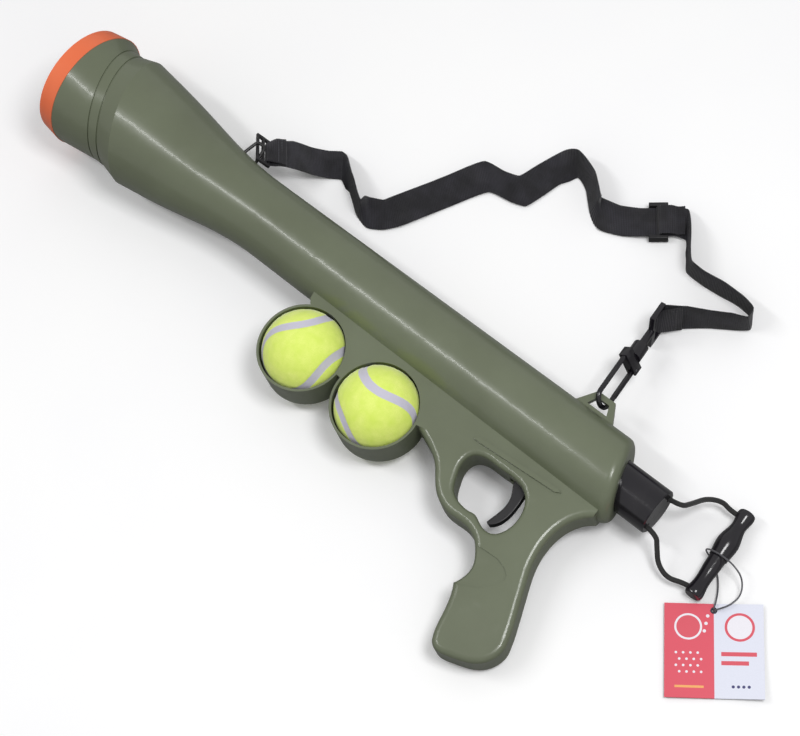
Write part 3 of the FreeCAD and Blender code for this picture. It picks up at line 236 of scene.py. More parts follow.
class Wiring:
    """Short ways to add and join the nodes of one tree."""

    def __init__(self, tree: bpy.types.ShaderNodeTree) -> None:
        """Keep the tree that the nodes go into."""
        self.tree = tree

    def add(self, kind: str, **settings: object) -> bpy.types.Node:
        """Add a node and set its options.

        Args:
            kind: the node's type name.
            settings: options of the node.

        Returns:
            The node.
        """
        node = self.tree.nodes.new(kind)
        for key, value in settings.items():
            setattr(node, key, value)
        return node

    def join(self, start: object, end: bpy.types.NodeSocket) -> None:
        """Link an output to an input, or set the input when the start is a plain value."""
        if isinstance(start, bpy.types.NodeSocket):
            self.tree.links.new(start, end)
        elif start is not None:
            end.default_value = start

    def fill(self, node: bpy.types.Node, values: dict[str, object]) -> None:
        """Give a node's inputs their values or links.

        Args:
            node: the node.
            values: the names of its inputs, each with a number, a colour, a vector or an output socket.
        """
        for label, value in values.items():
            self.join(value, node.inputs[label])

    def group(self, name: str, values: dict[str, object]) -> bpy.types.Node:
        """Place one shared group.

        Args:
            name: the group's name.
            values: the names of its inputs, each with a number or an output socket.

        Returns:
            The group node.
        """
        node = self.add("ShaderNodeGroup", node_tree=GROUPS[name])
        self.fill(node, values)
        return node

    def relief(self, shader: bpy.types.Node, height: bpy.types.NodeSocket, depth: float,
               strength: float = 1.0) -> None:
        """Raise a shader's surface where a height says so.

        Args:
            shader: the shader node.
            height: the height's socket.
            depth: how deep the relief looks, in millimetres.
            strength: how much of it shows.
        """
        bump = self.add("ShaderNodeBump")
        self.fill(bump, {"Distance": depth * MM, "Strength": strength, "Height": height})
        self.join(bump.outputs["Normal"], shader.inputs["Normal"])

    def math(self, operation: str, first: object, second: object = None,
             clamp: bool = False) -> bpy.types.NodeSocket:
        """Add a Math node on numbers or sockets.

        Args:
            operation: the node's operation.
            first: a number or an output socket.
            second: a number or an output socket, or nothing.
            clamp: whether the result is kept from 0 to 1.

        Returns:
            The result's socket.
        """
        node = self.add("ShaderNodeMath", operation=operation, use_clamp=clamp)
        self.join(first, node.inputs[0])
        self.join(second, node.inputs[1])
        return node.outputs[0]

    def plus(self, first: object, second: object) -> bpy.types.NodeSocket:
        """Add two numbers or sockets."""
        return self.math("ADD", first, second)

    def times(self, first: object, second: object) -> bpy.types.NodeSocket:
        """Multiply two numbers or sockets."""
        return self.math("MULTIPLY", first, second)

    def blend(self, share: bpy.types.NodeSocket, first: object, second: object) -> bpy.types.NodeSocket:
        """Mix two colours, each given as a linear colour or an output socket.

        Args:
            share: how much of the second colour shows.
            first: the colour at a share of 0.
            second: the colour at a share of 1.

        Returns:
            The mixed colour's socket.
        """
        node = self.add("ShaderNodeMix", data_type="RGBA", clamp_factor=True)
        self.join(share, node.inputs["Factor"])
        for label, value in (("A", first), ("B", second)):
            self.join(value, [s for s in node.inputs if s.name == label and s.type == "RGBA"][0])
        return [s for s in node.outputs if s.type == "RGBA"][0]

    def noise(self, vector: bpy.types.NodeSocket, scale: object, detail: float = 3.0,
              roughness: float = 0.5) -> bpy.types.NodeSocket:
        """Add a noise texture.

        Args:
            vector: the coordinates' socket.
            scale: a number or a socket.
            detail: the number of octaves.
            roughness: how strong the finer octaves are.

        Returns:
            The noise value's socket.
        """
        node = self.add("ShaderNodeTexNoise")
        self.fill(node, {"Vector": vector, "Scale": scale, "Detail": detail, "Roughness": roughness})
        return node.outputs["Fac"]

    def spread(self, value: bpy.types.NodeSocket, low: float, high: float, floor: float = 0.0,
               top: float = 1.0) -> bpy.types.NodeSocket:
        """Map a value from one span to another, kept inside it.

        Args:
            value: the socket to map.
            low: the value that becomes the floor.
            high: the value that becomes the top.
            floor: the lowest result.
            top: the highest result.

        Returns:
            The mapped socket.
        """
        node = self.add("ShaderNodeMapRange", clamp=True)
        self.fill(node, {"Value": value, "From Min": low, "From Max": high, "To Min": floor, "To Max": top})
        return node.outputs["Result"]


def moulded_group() -> None:
    """Build the group for moulded surfaces: a fine grain, soft unevenness and rubbed patches."""
    wire, given, result = new_group("moulded_surface", {"Vector": None, "Grain Scale": 1800.0, "Grain": 0.3},
                                    ("Height", "Tone", "Rubbed"))
    grain = wire.noise(given["Vector"], given["Grain Scale"], 2.0, 0.6)
    waves = wire.noise(given["Vector"], 38.0, 2.0)
    wire.join(wire.plus(wire.times(grain, given["Grain"]), wire.times(waves, 0.9)), result["Height"])
    wire.join(wire.noise(given["Vector"], 14.0, 4.0, 0.55), result["Tone"])
    wire.join(wire.spread(wire.noise(given["Vector"], 90.0, 6.0, 0.7), 0.56, 0.78), result["Rubbed"])


def dust_group() -> None:
    """Build the group for fine specks and faint smears."""
    wire, given, result = new_group("dust", {"Vector": None, "Amount": 0.2}, ("Mask",))
    specks = wire.add("ShaderNodeTexVoronoi")
    wire.fill(specks, {"Scale": 420.0, "Vector": given["Vector"]})
    near = wire.spread(specks.outputs["Distance"], 0.16, 0.05)
    patches = wire.spread(wire.noise(given["Vector"], 26.0, 5.0, 0.6), 0.5, 0.75)
    both = wire.times(wire.plus(wire.times(near, 0.7), 0.3), patches)
    wire.join(wire.math("MULTIPLY", both, given["Amount"], clamp=True), result["Mask"])


def ribs_group() -> None:
    """Build the group for ribbed webbing or braided cord, on a map whose first axis runs along the piece. Its
    Shade output drops to 0 in the grooves between ribs and threads, where the finishes paint shade with their
    dark second colour.
    """
    wire, given, result = new_group("woven_ribs", {"Vector": None, "Along": 1.0, "Across": 1.0, "Slant": 0.0},
                                    ("Height", "Shade"))
    split = wire.add("ShaderNodeSeparateXYZ")
    wire.join(given["Vector"], split.inputs[0])
    along = wire.times(split.outputs["X"], given["Along"])
    across = wire.times(split.outputs["Y"], given["Across"])
    slanted = wire.plus(along, wire.times(across, given["Slant"]))
    rib, thread = (wire.math("ABSOLUTE", wire.math("SINE", wire.times(run, math.pi)))
                   for run in (slanted, across))
    height = wire.plus(wire.times(rib, 0.75), wire.times(thread, 0.25))
    wire.join(height, result["Height"])
    wire.join(wire.spread(height, 0.1, 0.9), result["Shade"])


def nap_group() -> None:
    """Build the group for napped felt: tangled fibres over soft lumps."""
    wire, given, result = new_group("felt_nap", {"Vector": None}, ("Height", "Fibres", "Lumps"))
    bent = wire.add("ShaderNodeTexNoise")
    wire.fill(bent, {"Scale": 260.0, "Vector": given["Vector"]})
    shift = wire.add("ShaderNodeVectorMath", operation="MULTIPLY_ADD")
    shift.inputs[1].default_value = (0.006, 0.006, 0.006)
    wire.join(bent.outputs["Color"], shift.inputs[0])
    wire.join(given["Vector"], shift.inputs[2])
    fibres = wire.noise(shift.outputs[0], 1500.0, 4.0, 0.75)
    lumps = wire.noise(given["Vector"], 120.0, 3.0, 0.5)
    wire.join(wire.plus(wire.times(fibres, 0.6), wire.times(lumps, 0.8)), result["Height"])
    wire.join(fibres, result["Fibres"])
    wire.join(lumps, result["Lumps"])


def spot_group() -> None:
    """Build the group that gives a round printed spot on a flat card."""
    wire, given, result = new_group("printed_spot", {"X": 0.0, "Y": 0.0, "At X": 0.0, "At Y": 0.0, "Radius": 1.0},
                                    ("Mask",))
    aside = wire.math("SUBTRACT", given["X"], given["At X"])
    above = wire.math("SUBTRACT", given["Y"], given["At Y"])
    reach = wire.math("SQRT", wire.plus(wire.times(aside, aside), wire.times(above, above)))
    wire.join(wire.spread(wire.math("SUBTRACT", given["Radius"], reach), -0.00008, 0.00008), result["Mask"])


GROUPS: dict[str, bpy.types.ShaderNodeTree] = {}
MADE: dict[str, bpy.types.Material] = {}


def build_groups() -> None:
    """Build each shader group once."""
    for maker in (moulded_group, dust_group, ribs_group, nap_group, spot_group):
        maker()


@dataclass(frozen=True)
class Finish:
    """One finish: its colour, gloss and relief.

    Args:
        name: the material's name.
        colour: display colour.
        roughness: the roughness where the surface isn't rubbed.
        pattern: the relief.
        second: the display colour in random darker or worn patches; for ribbed webbing and braided cord it is
            painted shade in the grooves, and for felt it is both a random tone and painted shade deep in the nap.
        relief: how deep the relief looks, in millimetres.
        scale: the relief's scale.
        metallic: 1 for a metal.
        coat: the strength of a clear coat.
        sheen: the strength of the cloth sheen.
        dust: how much dust lies on it.
    """

    name: str
    colour: Rgb
    roughness: float
    pattern: Pattern
    second: Rgb
    relief: float = 0.02
    scale: float = 1800.0
    metallic: float = 0.0
    coat: float = 0.0
    sheen: float = 0.0
    dust: float = 0.15

    def make(self) -> bpy.types.Material:
        """Build the material once and give it again when it is asked for.

        Returns:
            The material.
        """
        if self.name in MADE:
            return MADE[self.name]
        material, wire, shader = new_material(self.name)
        MADE[self.name] = material
        place = wire.add("ShaderNodeTexCoord")
        colour, height, worn = self.surface(wire, place)
        speck = wire.group("dust", {"Vector": place.outputs["Object"], "Amount": self.dust})
        pale = wire.blend(speck.outputs["Mask"], colour, linear((0.78, 0.77, 0.74)))
        rough = wire.spread(worn, 0.0, 1.0, self.roughness, min(1.0, self.roughness + 0.16))
        wire.fill(shader, {"Metallic": self.metallic, "Coat Weight": self.coat, "Coat Roughness": 0.12,
                           "Sheen Weight": self.sheen, "Sheen Roughness": 0.4, "Base Color": pale,
                           "Roughness": rough})
        wire.relief(shader, height, self.relief, 0.8)
        return material

    def surface(self, wire: Wiring, place: bpy.types.Node) -> tuple[bpy.types.NodeSocket, ...]:
        """Build the colour, height and worn share of the finish.

        Args:
            wire: the material's wiring.
            place: the Texture Coordinate node.

        Returns:
            The sockets of the colour, the height and the worn share.
        """
        first, second = linear(self.colour), linear(self.second)
        if self.pattern in (Pattern.GRAIN, Pattern.BRUSHED):
            spot = place.outputs["Object"]
            if self.pattern is Pattern.BRUSHED:
                stretch = wire.add("ShaderNodeMapping")
                wire.fill(stretch, {"Scale": (0.08, 1.0, 1.0), "Vector": spot})
                spot = stretch.outputs["Vector"]
            node = wire.group("moulded_surface", {"Vector": spot, "Grain Scale": self.scale})
            tone = wire.spread(node.outputs["Tone"], 0.35, 0.7)
            return wire.blend(tone, first, second), node.outputs["Height"], node.outputs["Rubbed"]
        if self.pattern is Pattern.NAP:
            node = wire.group("felt_nap", {"Vector": place.outputs["Object"]})
            tone = wire.spread(node.outputs["Lumps"], 0.3, 0.72)
            # Where the fibres are low, the colour turns to the darker second colour: painted shade deep in the
            # nap. The tone over the lumps is random.
            deep = wire.spread(node.outputs["Fibres"], 0.62, 0.3)
            shaded = wire.blend(deep, wire.blend(tone, first, second), second)
            return shaded, node.outputs["Height"], node.outputs["Fibres"]
        across, slant = (16.0, 0.0) if self.pattern is Pattern.RIBS else (6.0, 1.0)
        node = wire.group("woven_ribs", {"Vector": place.outputs["UV"], "Along": self.scale,
                                         "Across": across, "Slant": slant})
        # The colour turns to the finish's dark second colour where the Shade output is low, in the grooves
        # between ribs and threads: painted shade. The broad noise patches are a random tone.
        faded = wire.spread(wire.noise(place.outputs["Object"], 60.0), 0.38, 0.62, 0.4, 1.0)
        shade = wire.times(node.outputs["Shade"], faded)
        return wire.blend(shade, second, first), node.outputs["Height"], node.outputs["Shade"]


OLIVE = Finish("olive_moulding", (0.415, 0.443, 0.357), 0.3, Pattern.GRAIN, (0.385, 0.41, 0.327), 0.012, 1300.0,
               coat=0.24, dust=0.05)
ORANGE = Finish("orange_moulding", (0.96, 0.48, 0.30), 0.36, Pattern.GRAIN, (0.93, 0.43, 0.25), 0.012, 1300.0,
                coat=0.08, dust=0.05)
GLOSS_BLACK = Finish("gloss_black_moulding", (0.10, 0.09, 0.115), 0.17, Pattern.GRAIN, (0.075, 0.07, 0.09),
                     0.015, 800.0, coat=0.2, dust=0.05)
SATIN_BLACK = Finish("satin_black_moulding", (0.11, 0.105, 0.115), 0.38, Pattern.GRAIN, (0.08, 0.075, 0.085),
                     0.02, 1300.0, dust=0.1)
PAD_RUBBER = Finish("striker_rubber", (0.15, 0.15, 0.155), 0.7, Pattern.GRAIN, (0.12, 0.12, 0.12), 0.05, 1100.0,
                    dust=0.3)
SCREW_STEEL = Finish("screw_steel", (0.62, 0.62, 0.64), 0.32, Pattern.BRUSHED, (0.5, 0.5, 0.53), 0.01, 2600.0,
                     metallic=1.0)
SPRING_STEEL = Finish("spring_wire", (0.55, 0.55, 0.58), 0.28, Pattern.BRUSHED, (0.42, 0.42, 0.45), 0.01,
                      2600.0, metallic=1.0)
BLACK_WIRE = Finish("painted_wire", (0.12, 0.115, 0.12), 0.35, Pattern.GRAIN, (0.16, 0.155, 0.16), 0.02, 1200.0)
BALL_CORE = Finish("ball_rubber", (0.3, 0.3, 0.31), 0.8, Pattern.GRAIN, (0.24, 0.24, 0.25), 0.03, 900.0)
# The webbing's dark second colour is painted shade in the grooves between its ribs.
WEBBING_CLOTH = Finish("ribbed_webbing", (0.19, 0.185, 0.215), 0.7, Pattern.RIBS, (0.03, 0.028, 0.036), 0.3,
                       760.0, sheen=0.25, dust=0.06)
THREAD = Finish("black_thread", (0.3, 0.3, 0.33), 0.6, Pattern.GRAIN, (0.2, 0.2, 0.22), 0.05, 3000.0, sheen=0.3)
# The darker second colours of the cord and the elastic are painted shade in the grooves of the braid.
PULL_CORD = Finish("braided_cord", (0.2, 0.2, 0.2), 0.75, Pattern.BRAID, (0.06, 0.06, 0.065), 0.2, 150.0,
                   sheen=0.2, dust=0.1)
ELASTIC = Finish("thin_elastic", (0.42, 0.42, 0.44), 0.6, Pattern.BRAID, (0.2, 0.2, 0.22), 0.06, 240.0,
                 sheen=0.2)
EYELET = Finish("dark_eyelet", (0.3, 0.3, 0.34), 0.35, Pattern.BRUSHED, (0.2, 0.2, 0.24), 0.01, 2000.0,
                metallic=0.9)
# The felt's second colour is both a random tone over the lumps and painted shade deep in the nap.
FELT = Finish("napped_felt", (0.95, 0.995, 0.55), 0.95, Pattern.NAP, (0.87, 0.955, 0.41), 0.3, 1.0, sheen=0.5,
              dust=0.03)


# A copied node's corners closer than this are welded, and its faces flatter than the first angle are
# joined. Its edges sharper than the second angle are rounded.
WELD_REACH = 2e-6
FLAT_ANGLE = 1.5
SHARP_ANGLE = 32.0


def dress(piece: bpy.types.Object, material: bpy.types.Material) -> None:
    """Give a piece one material in all its slots."""
    if not piece.material_slots:
        piece.data.materials.append(material)
    for slot in piece.material_slots:
        slot.material = material


def dress_nodes(table: dict[Finish, str]) -> None:
    """Give carried-over nodes their finishes.

    Args:
        table: each finish with the names of its nodes.
    """
    for finish, names in table.items():
        for name in names.split():
            dress(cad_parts[name], finish.make())


def softened(node: str, body: Body, finish: Finish, width: float) -> bpy.types.Object:
    """Copy a frame node, weld it and round its sharp edges, and let the copy stand for it.

    Args:
        node: the frame node.
        body: the body that the copy rides on.
        finish: the copy's finish.
        width: the rounding's width in millimetres, or 0 for none.

    Returns:
        The rounded copy.
    """
    choose(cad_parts[node])
    bpy.ops.object.duplicate()
    piece = made(node + "_moulding")
    with edit_mode(piece):
        bpy.ops.mesh.remove_doubles(threshold=WELD_REACH)
        bpy.ops.mesh.dissolve_limited(angle_limit=math.radians(FLAT_ANGLE))
    piece.data.materials.clear()
    if width > 0:
        bevel = piece.modifiers.new("rounding", "BEVEL")
        bevel.width = width * MM
        bevel.segments = 3
        bevel.limit_method = "ANGLE"
        bevel.angle_limit = math.radians(SHARP_ANGLE)
        bevel.use_clamp_overlap = True
        apply_modifiers(piece)
    smooth(piece)
    dress(piece, finish.make())
    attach(piece, body.value)
    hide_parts(node)
    LOG.info("%s: %d faces", piece.name, len(piece.data.polygons))
    return piece


@dataclass
class Housing:
    """The moulded shells with the ring at the mouth and the hardware between them."""

    draw: float = 118.0

    def dress(self) -> None:
        """Give each carried-over node its finish."""
        dress_nodes({OLIVE: "left_shell right_shell", ORANGE: "muzzle_ring", BLACK_WIRE: "strap_loop",
                     SATIN_BLACK: "spring_stop rear_bushing trigger sear",
                     SCREW_STEEL: "trigger_pin sear_pin shell_screws gate_pin",
                     SPRING_STEEL: "trigger_spring sear_spring"})
        LOG.info("housing dressed")

    def spring(self) -> None:
        """Put a welded, smooth-shaded copy of the drive spring in its place, with a mesh of its own."""
        piece = softened("drive_spring", Body.HOUSING, SPRING_STEEL, 0)
        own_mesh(piece)


@dataclass
class Plunger:
    """The sliding tube with its striker, cap, pull cords and pull handle."""

    cord_diameter: float = 3.8
    upper_route: tuple[Point, ...] = (
        (567.0, 12.0, 0.0), (592.5, 12.0, 0.0), (597.0, 22.5, -9.0), (600.5, 33.0, -17.0), (610.0, 39.5, -21.5),
        (618.43, 37.78, -23.62), (627.38, 38.7, -23.71))
    lower_route: tuple[Point, ...] = (
        (567.0, -12.0, 0.0), (592.0, -12.0, 0.0), (598.0, -19.5, -8.5), (604.0, -26.5, -14.5),
        (615.0, -30.0, -16.8), (625.98, -25.42, -16.82), (633.94, -24.6, -16.91))
    upper_length: float = 80.9
    lower_length: float = 78.1

    def dress(self) -> None:
        """Give each carried-over node its finish."""
        dress_nodes({GLOSS_BLACK: "plunger_tube plunger_cap handle_upper_half handle_lower_half",
                     SATIN_BLACK: "striker_head", PAD_RUBBER: "striker_pad", SCREW_STEEL: "striker_pin",
                     PULL_CORD: "cord_knots"})

    def cords(self) -> None:
        """Lay both pull cords along their routes."""
        for side, route, length in (("upper", self.upper_route, self.upper_length),
                                    ("lower", self.lower_route, self.lower_length)):
            piece = cord_curve("pull_cord_" + side + "_line", route, self.cord_diameter, PULL_CORD)
            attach(piece, Body.PLUNGER.value)
            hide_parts("pull_cord_" + side)
            LOG.info("pull cord %s laid", side)


def cord_curve(name: str, route: tuple[Point, ...], diameter: float, finish: Finish) -> bpy.types.Object:
    """Make a round cord as one smooth curve.

    Args:
        name: the piece's name.
        route: control points in millimetres.
        diameter: the cord's diameter in millimetres.
        finish: its finish.

    Returns:
        The curve object.
    """
    data = bpy.data.curves.new(name, "CURVE")
    data.dimensions = "3D"
    data.resolution_u = 16
    data.bevel_depth = diameter * MM / 2
    data.bevel_resolution = 5
    data.use_fill_caps = True
    spline = data.splines.new("NURBS")
    spline.points.add(len(route) - 1)
    for control, point in zip(spline.points, route):
        control.co = (*(v * MM for v in point), 1.0)
    spline.order_u = 3
    spline.use_endpoint_u = True
    data.materials.append(finish.make())
    return linked(bpy.data.objects.new(name, data))


@dataclass
class TennisBall:
    """A spare ball: felt with its wavy seam, laid over a rubber core."""

    name: str
    body: Body
    turn: Point
    radius: float = 32.5
    seam_half_width: float = 4.6
    seam_depth: float = 0.5
    seam_shape: float = 0.44
    lump_depth: float = 0.12
    lump_rates: Point = (23, 19, 21)

    def seam_points(self, count: int = 720) -> np.ndarray:
        """Give points along the seam on a ball of radius 1.

        Args:
            count: how many points.

        Returns:
            An array with one point a row.
        """
        t = np.linspace(0, 4 * math.pi, count, endpoint=False)
        tilt = math.pi / 2 - (math.pi / 2 - self.seam_shape) * np.cos(t)
        swing = t / 2 + self.seam_shape * np.sin(2 * t)
        return np.stack([np.sin(tilt) * np.cos(swing), np.sin(tilt) * np.sin(swing), np.cos(tilt)], 1)

    def felt(self) -> bpy.types.Material:
        """Build the ball's own felt, whose seam is pale.

        Returns:
            The material.
        """
        material = FELT.make()
        if "seam" not in material:
            material["seam"] = True
            wire = Wiring(material.node_tree)
            shader = material.node_tree.nodes["Principled BSDF"]
            mask = wire.add("ShaderNodeAttribute", attribute_name="seam")
            old = shader.inputs["Base Color"].links[0].from_socket
            place = wire.add("ShaderNodeTexCoord")
            ragged = wire.noise(place.outputs["Object"], 900.0, 3.0, 0.6)
            edge = wire.plus(mask.outputs["Fac"], wire.times(ragged, 0.16))
            pale = wire.spread(edge, 0.30, 0.37)
            wire.join(wire.blend(pale, old, linear((0.80, 0.79, 0.85))), shader.inputs["Base Color"])
        return material

    def build(self) -> bpy.types.Object:
        """Make the ball, press its seam in and let it stand for the felt node.

        Returns:
            The ball.
        """
        deselect()
        bpy.ops.mesh.primitive_ico_sphere_add(subdivisions=6, radius=1.0)
        piece = made(self.name + "_felt_cover")
        count = len(piece.data.vertices)
        places = np.empty(count * 3)
        piece.data.vertices.foreach_get("co", places)
        places = places.reshape(-1, 3)
        places /= np.linalg.norm(places, axis=1, keepdims=True)
        seam = self.seam_points()
        nearest = np.arccos(np.clip((places @ seam.T).max(1), -1, 1)) * self.radius
        share = np.clip(1 - nearest / self.seam_half_width, 0, 1)
        dip = self.seam_depth * np.clip(share * 2.2, 0, 1) ** 1.5
        waves = np.sin(places * np.array(self.lump_rates) + np.array([0, 1, 2]))
        lumps = self.lump_depth * (waves.prod(1) - 1)
        places *= ((self.radius + lumps - dip) * MM)[:, None]
        piece.data.vertices.foreach_set("co", places.ravel())
        layer = piece.data.attributes.new("seam", "FLOAT", "POINT")
        layer.data.foreach_set("value", share.astype(np.float32))
        piece.rotation_euler = [math.radians(v) for v in self.turn]
        low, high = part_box(self.name + "_felt")
        piece.location = (Vector(low) + Vector(high)) / 2
        settle(piece)
        smooth(piece, 60)
        dress(piece, self.felt())
        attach(piece, self.body.value)
        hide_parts(self.name + "_felt")
        dress(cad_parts[self.name + "_core"], BALL_CORE.make())
        LOG.info("%s built", self.name)
        return piece


@dataclass
class HangTag:
    """The folded card with its eyelet and thin elastic loop."""

    side: float = 68.5
    thickness: float = 0.8
    centre: tuple[float, float] = (671.5, -50.0)
    heading: float = -52.0
    fold_lift: float = 0.5
    fold_run: float = 3.5
    warp: float = 0.25
    table_gap: float = 0.5
    squares: int = 34
    eyelet_inset: float = 5.0
    hole_radius: float = 1.8
    rim_radius: float = 1.65
    flat_reach: float = 4.0
    print_edge: float = 0.15
    loop_diameter: float = 1.2
    loop_length: float = 125.0
    loop_route: tuple[Point, ...] = (
        (653.96, -27.33, -23.72), (653.88, -27.07, -21.25), (656.2, -24.2, -19.77), (660.3, -17.5, -20.63),
        (662.0, -7.0, -21.26), (656.0, 2.5, -17.95), (646.0, 5.4, -13.09), (636.0, 5.4, -10.83),
        (626.5, 4.6, -13.17), (622.2, 4.0, -19.75), (624.2, 3.4, -25.62), (632.0, 1.4, -26.95),
        (641.0, -6.0, -25.97), (647.0, -14.0, -24.64), (650.5, -20.5, -22.65), (652.2, -24.2, -20.4),
        (652.93, -26.31, -21.46), (653.01, -26.56, -23.83))

    def card_matrix(self) -> Matrix:
        """Give the card's place: its X axis along the fold, its Z axis off the table."""
        up = Vector((-TABLE_SLOPE_X, -TABLE_SLOPE_Y, 1)).normalized()
        ahead = Vector((math.cos(math.radians(self.heading)), math.sin(math.radians(self.heading)), 0))
        ahead = (ahead - up * ahead.dot(up)).normalized()
        turn = Matrix((ahead, up.cross(ahead), up)).transposed().to_4x4()
        return Matrix.Translation(on_table(*self.centre, self.table_gap)) @ turn

    def card(self) -> bpy.types.Object:
        """Make the card with a shallow fold and let it stand for the card's node.

        Returns:
            The card.
        """
        deselect()
        bpy.ops.mesh.primitive_grid_add(x_subdivisions=self.squares, y_subdivisions=self.squares, size=1.0)
        piece = made("hang_tag_card")
        half = self.side / 2
        hole = self.eyelet_inset - half
        for vertex in piece.data.vertices:
            x, y = vertex.co.x * self.side, vertex.co.y * self.side
            lift = self.fold_lift * (1 - math.exp(-abs(y) / self.fold_run)) * abs(y) / half
            lift += self.warp * (x / half) ** 2 * abs(y / half)
            lift *= min(math.hypot(x - hole, y) / self.flat_reach, 1.0)
            vertex.co = Vector((x, y, lift + self.thickness / 2)) * MM
        self.pierce(piece, hole)
        layer = piece.data.uv_layers.new(name="card")
        for loop in piece.data.loops:
            spot = piece.data.vertices[loop.vertex_index].co
            layer.data[loop.index].uv = (spot.x / (self.side * MM) + 0.5, spot.y / (self.side * MM) + 0.5)
        wall = piece.modifiers.new("board", "SOLIDIFY")
        wall.thickness = self.thickness * MM
        wall.offset = 0
        apply_modifiers(piece)
        piece.matrix_world = self.card_matrix()
        settle(piece)
        smooth(piece, 30)
        dress(piece, self.print())
        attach(piece, Body.PLUNGER.value)
        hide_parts("hang_tag")
        return piece

    def pierce(self, piece: bpy.types.Object, hole: float) -> None:
        """Open the eyelet's hole: the faces inside it go, and the rim is drawn round.

        Args:
            piece: the flat card.
            hole: the hole's place along the fold, in millimetres.
        """
        centre = Vector((hole, 0)) * MM
        with edit_mode(piece):
            bpy.ops.mesh.select_mode(type="FACE")
            bpy.ops.mesh.select_all(action="DESELECT")
        for face in piece.data.polygons:
            face.select = (Vector(face.center[:2]) - centre).length < self.hole_radius * MM
        with edit_mode(piece, every=False):
            bpy.ops.mesh.delete(type="FACE")
        edge_use: dict[tuple[int, int], int] = {}
        for face in piece.data.polygons:
            for key in face.edge_keys:
                edge_use[key] = edge_use.get(key, 0) + 1
        for key, uses in edge_use.items():
            for index in key:
                spot = piece.data.vertices[index]
                flat = Vector(spot.co[:2]) - centre
                if uses == 1 and flat.length < self.flat_reach * MM:
                    drawn = centre + flat.normalized() * self.rim_radius * MM
                    spot.co.x, spot.co.y = drawn.x, drawn.y

    def print(self) -> bpy.types.Material:
        """Build the card's printed finish: two halves with plain round and bar marks.

        Returns:
            The material.
        """
        material, wire, shader = new_material("printed_card")
        place = wire.add("ShaderNodeTexCoord")
        split = wire.add("ShaderNodeSeparateXYZ")
        wire.join(place.outputs["UV"], split.inputs[0])
        down = wire.times(split.outputs["X"], self.side * MM)
        aside = wire.times(split.outputs["Y"], self.side * MM)
        half = self.side / 2
        right_half = wire.spread(aside, (half - 0.1) * MM, (half + 0.1) * MM)
        colour = wire.blend(right_half, linear((0.89, 0.33, 0.40)), linear((0.90, 0.91, 0.965)))
        white, red = (0.95, 0.94, 0.97), (0.88, 0.34, 0.40)
        navy, amber = (0.24, 0.24, 0.45), (0.97, 0.70, 0.40)
        spots = [(17.0, 16.5, 9.6, white), (17.0, 16.5, 8.2, red), (17.0, 52.0, 10.4, red),
                 (17.0, 52.0, 8.6, white)]
        spots += [(9.0 + 5.5 * i, 30.0 - 1.2 * i, 1.2, white) for i in range(3)]
        spots += [(36.0 + 4.6 * (i % 4), 8.0 + 5.0 * (i // 4) + 2.3 * (i % 2), 0.9, white) for i in range(16)]
        spots += [(60.0, 47.0 + 3.6 * i, 1.1, navy) for i in range(4)]
        for along, over, radius, ink in spots:
            node = wire.group("printed_spot", {"X": down, "Y": aside, "At X": along * MM, "At Y": over * MM,
                                               "Radius": radius * MM})
            colour = wire.blend(node.outputs["Mask"], colour, linear(ink))
        bars = [(35.0, 38.2, 39.0, 63.5, red), (41.5, 44.7, 39.0, 58.0, red), (59.5, 61.3, 7.0, 27.0, amber)]
        for low, high, left, right, ink in bars:
            inside = 1.0
            for place_on, start, end in ((down, low, high), (aside, left, right)):
                for edge, clear in ((start, start + self.print_edge), (end, end - self.print_edge)):
                    inside = wire.times(wire.spread(place_on, edge * MM, clear * MM), inside)
            colour = wire.blend(inside, colour, linear(ink))
        fibre = wire.noise(place.outputs["Object"], 900.0, 3.0, 0.6)
        worn = wire.blend(wire.spread(fibre, 0.3, 0.7, 0.0, 0.05), colour, linear((0.5, 0.5, 0.52)))
        wire.fill(shader, {"Base Color": worn, "Roughness": wire.spread(fibre, 0.3, 0.7, 0.36, 0.5)})
        wire.relief(shader, fibre, 0.01)
        return material

    def loop(self) -> None:
        """Lay the thin elastic round the handle."""
        dress(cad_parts["tag_eyelet"], EYELET.make())
        piece = cord_curve("tag_loop_line", self.loop_route, self.loop_diameter, ELASTIC)
        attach(piece, Body.PLUNGER.value)
        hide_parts("tag_loop")
        LOG.info("tag and loop laid")


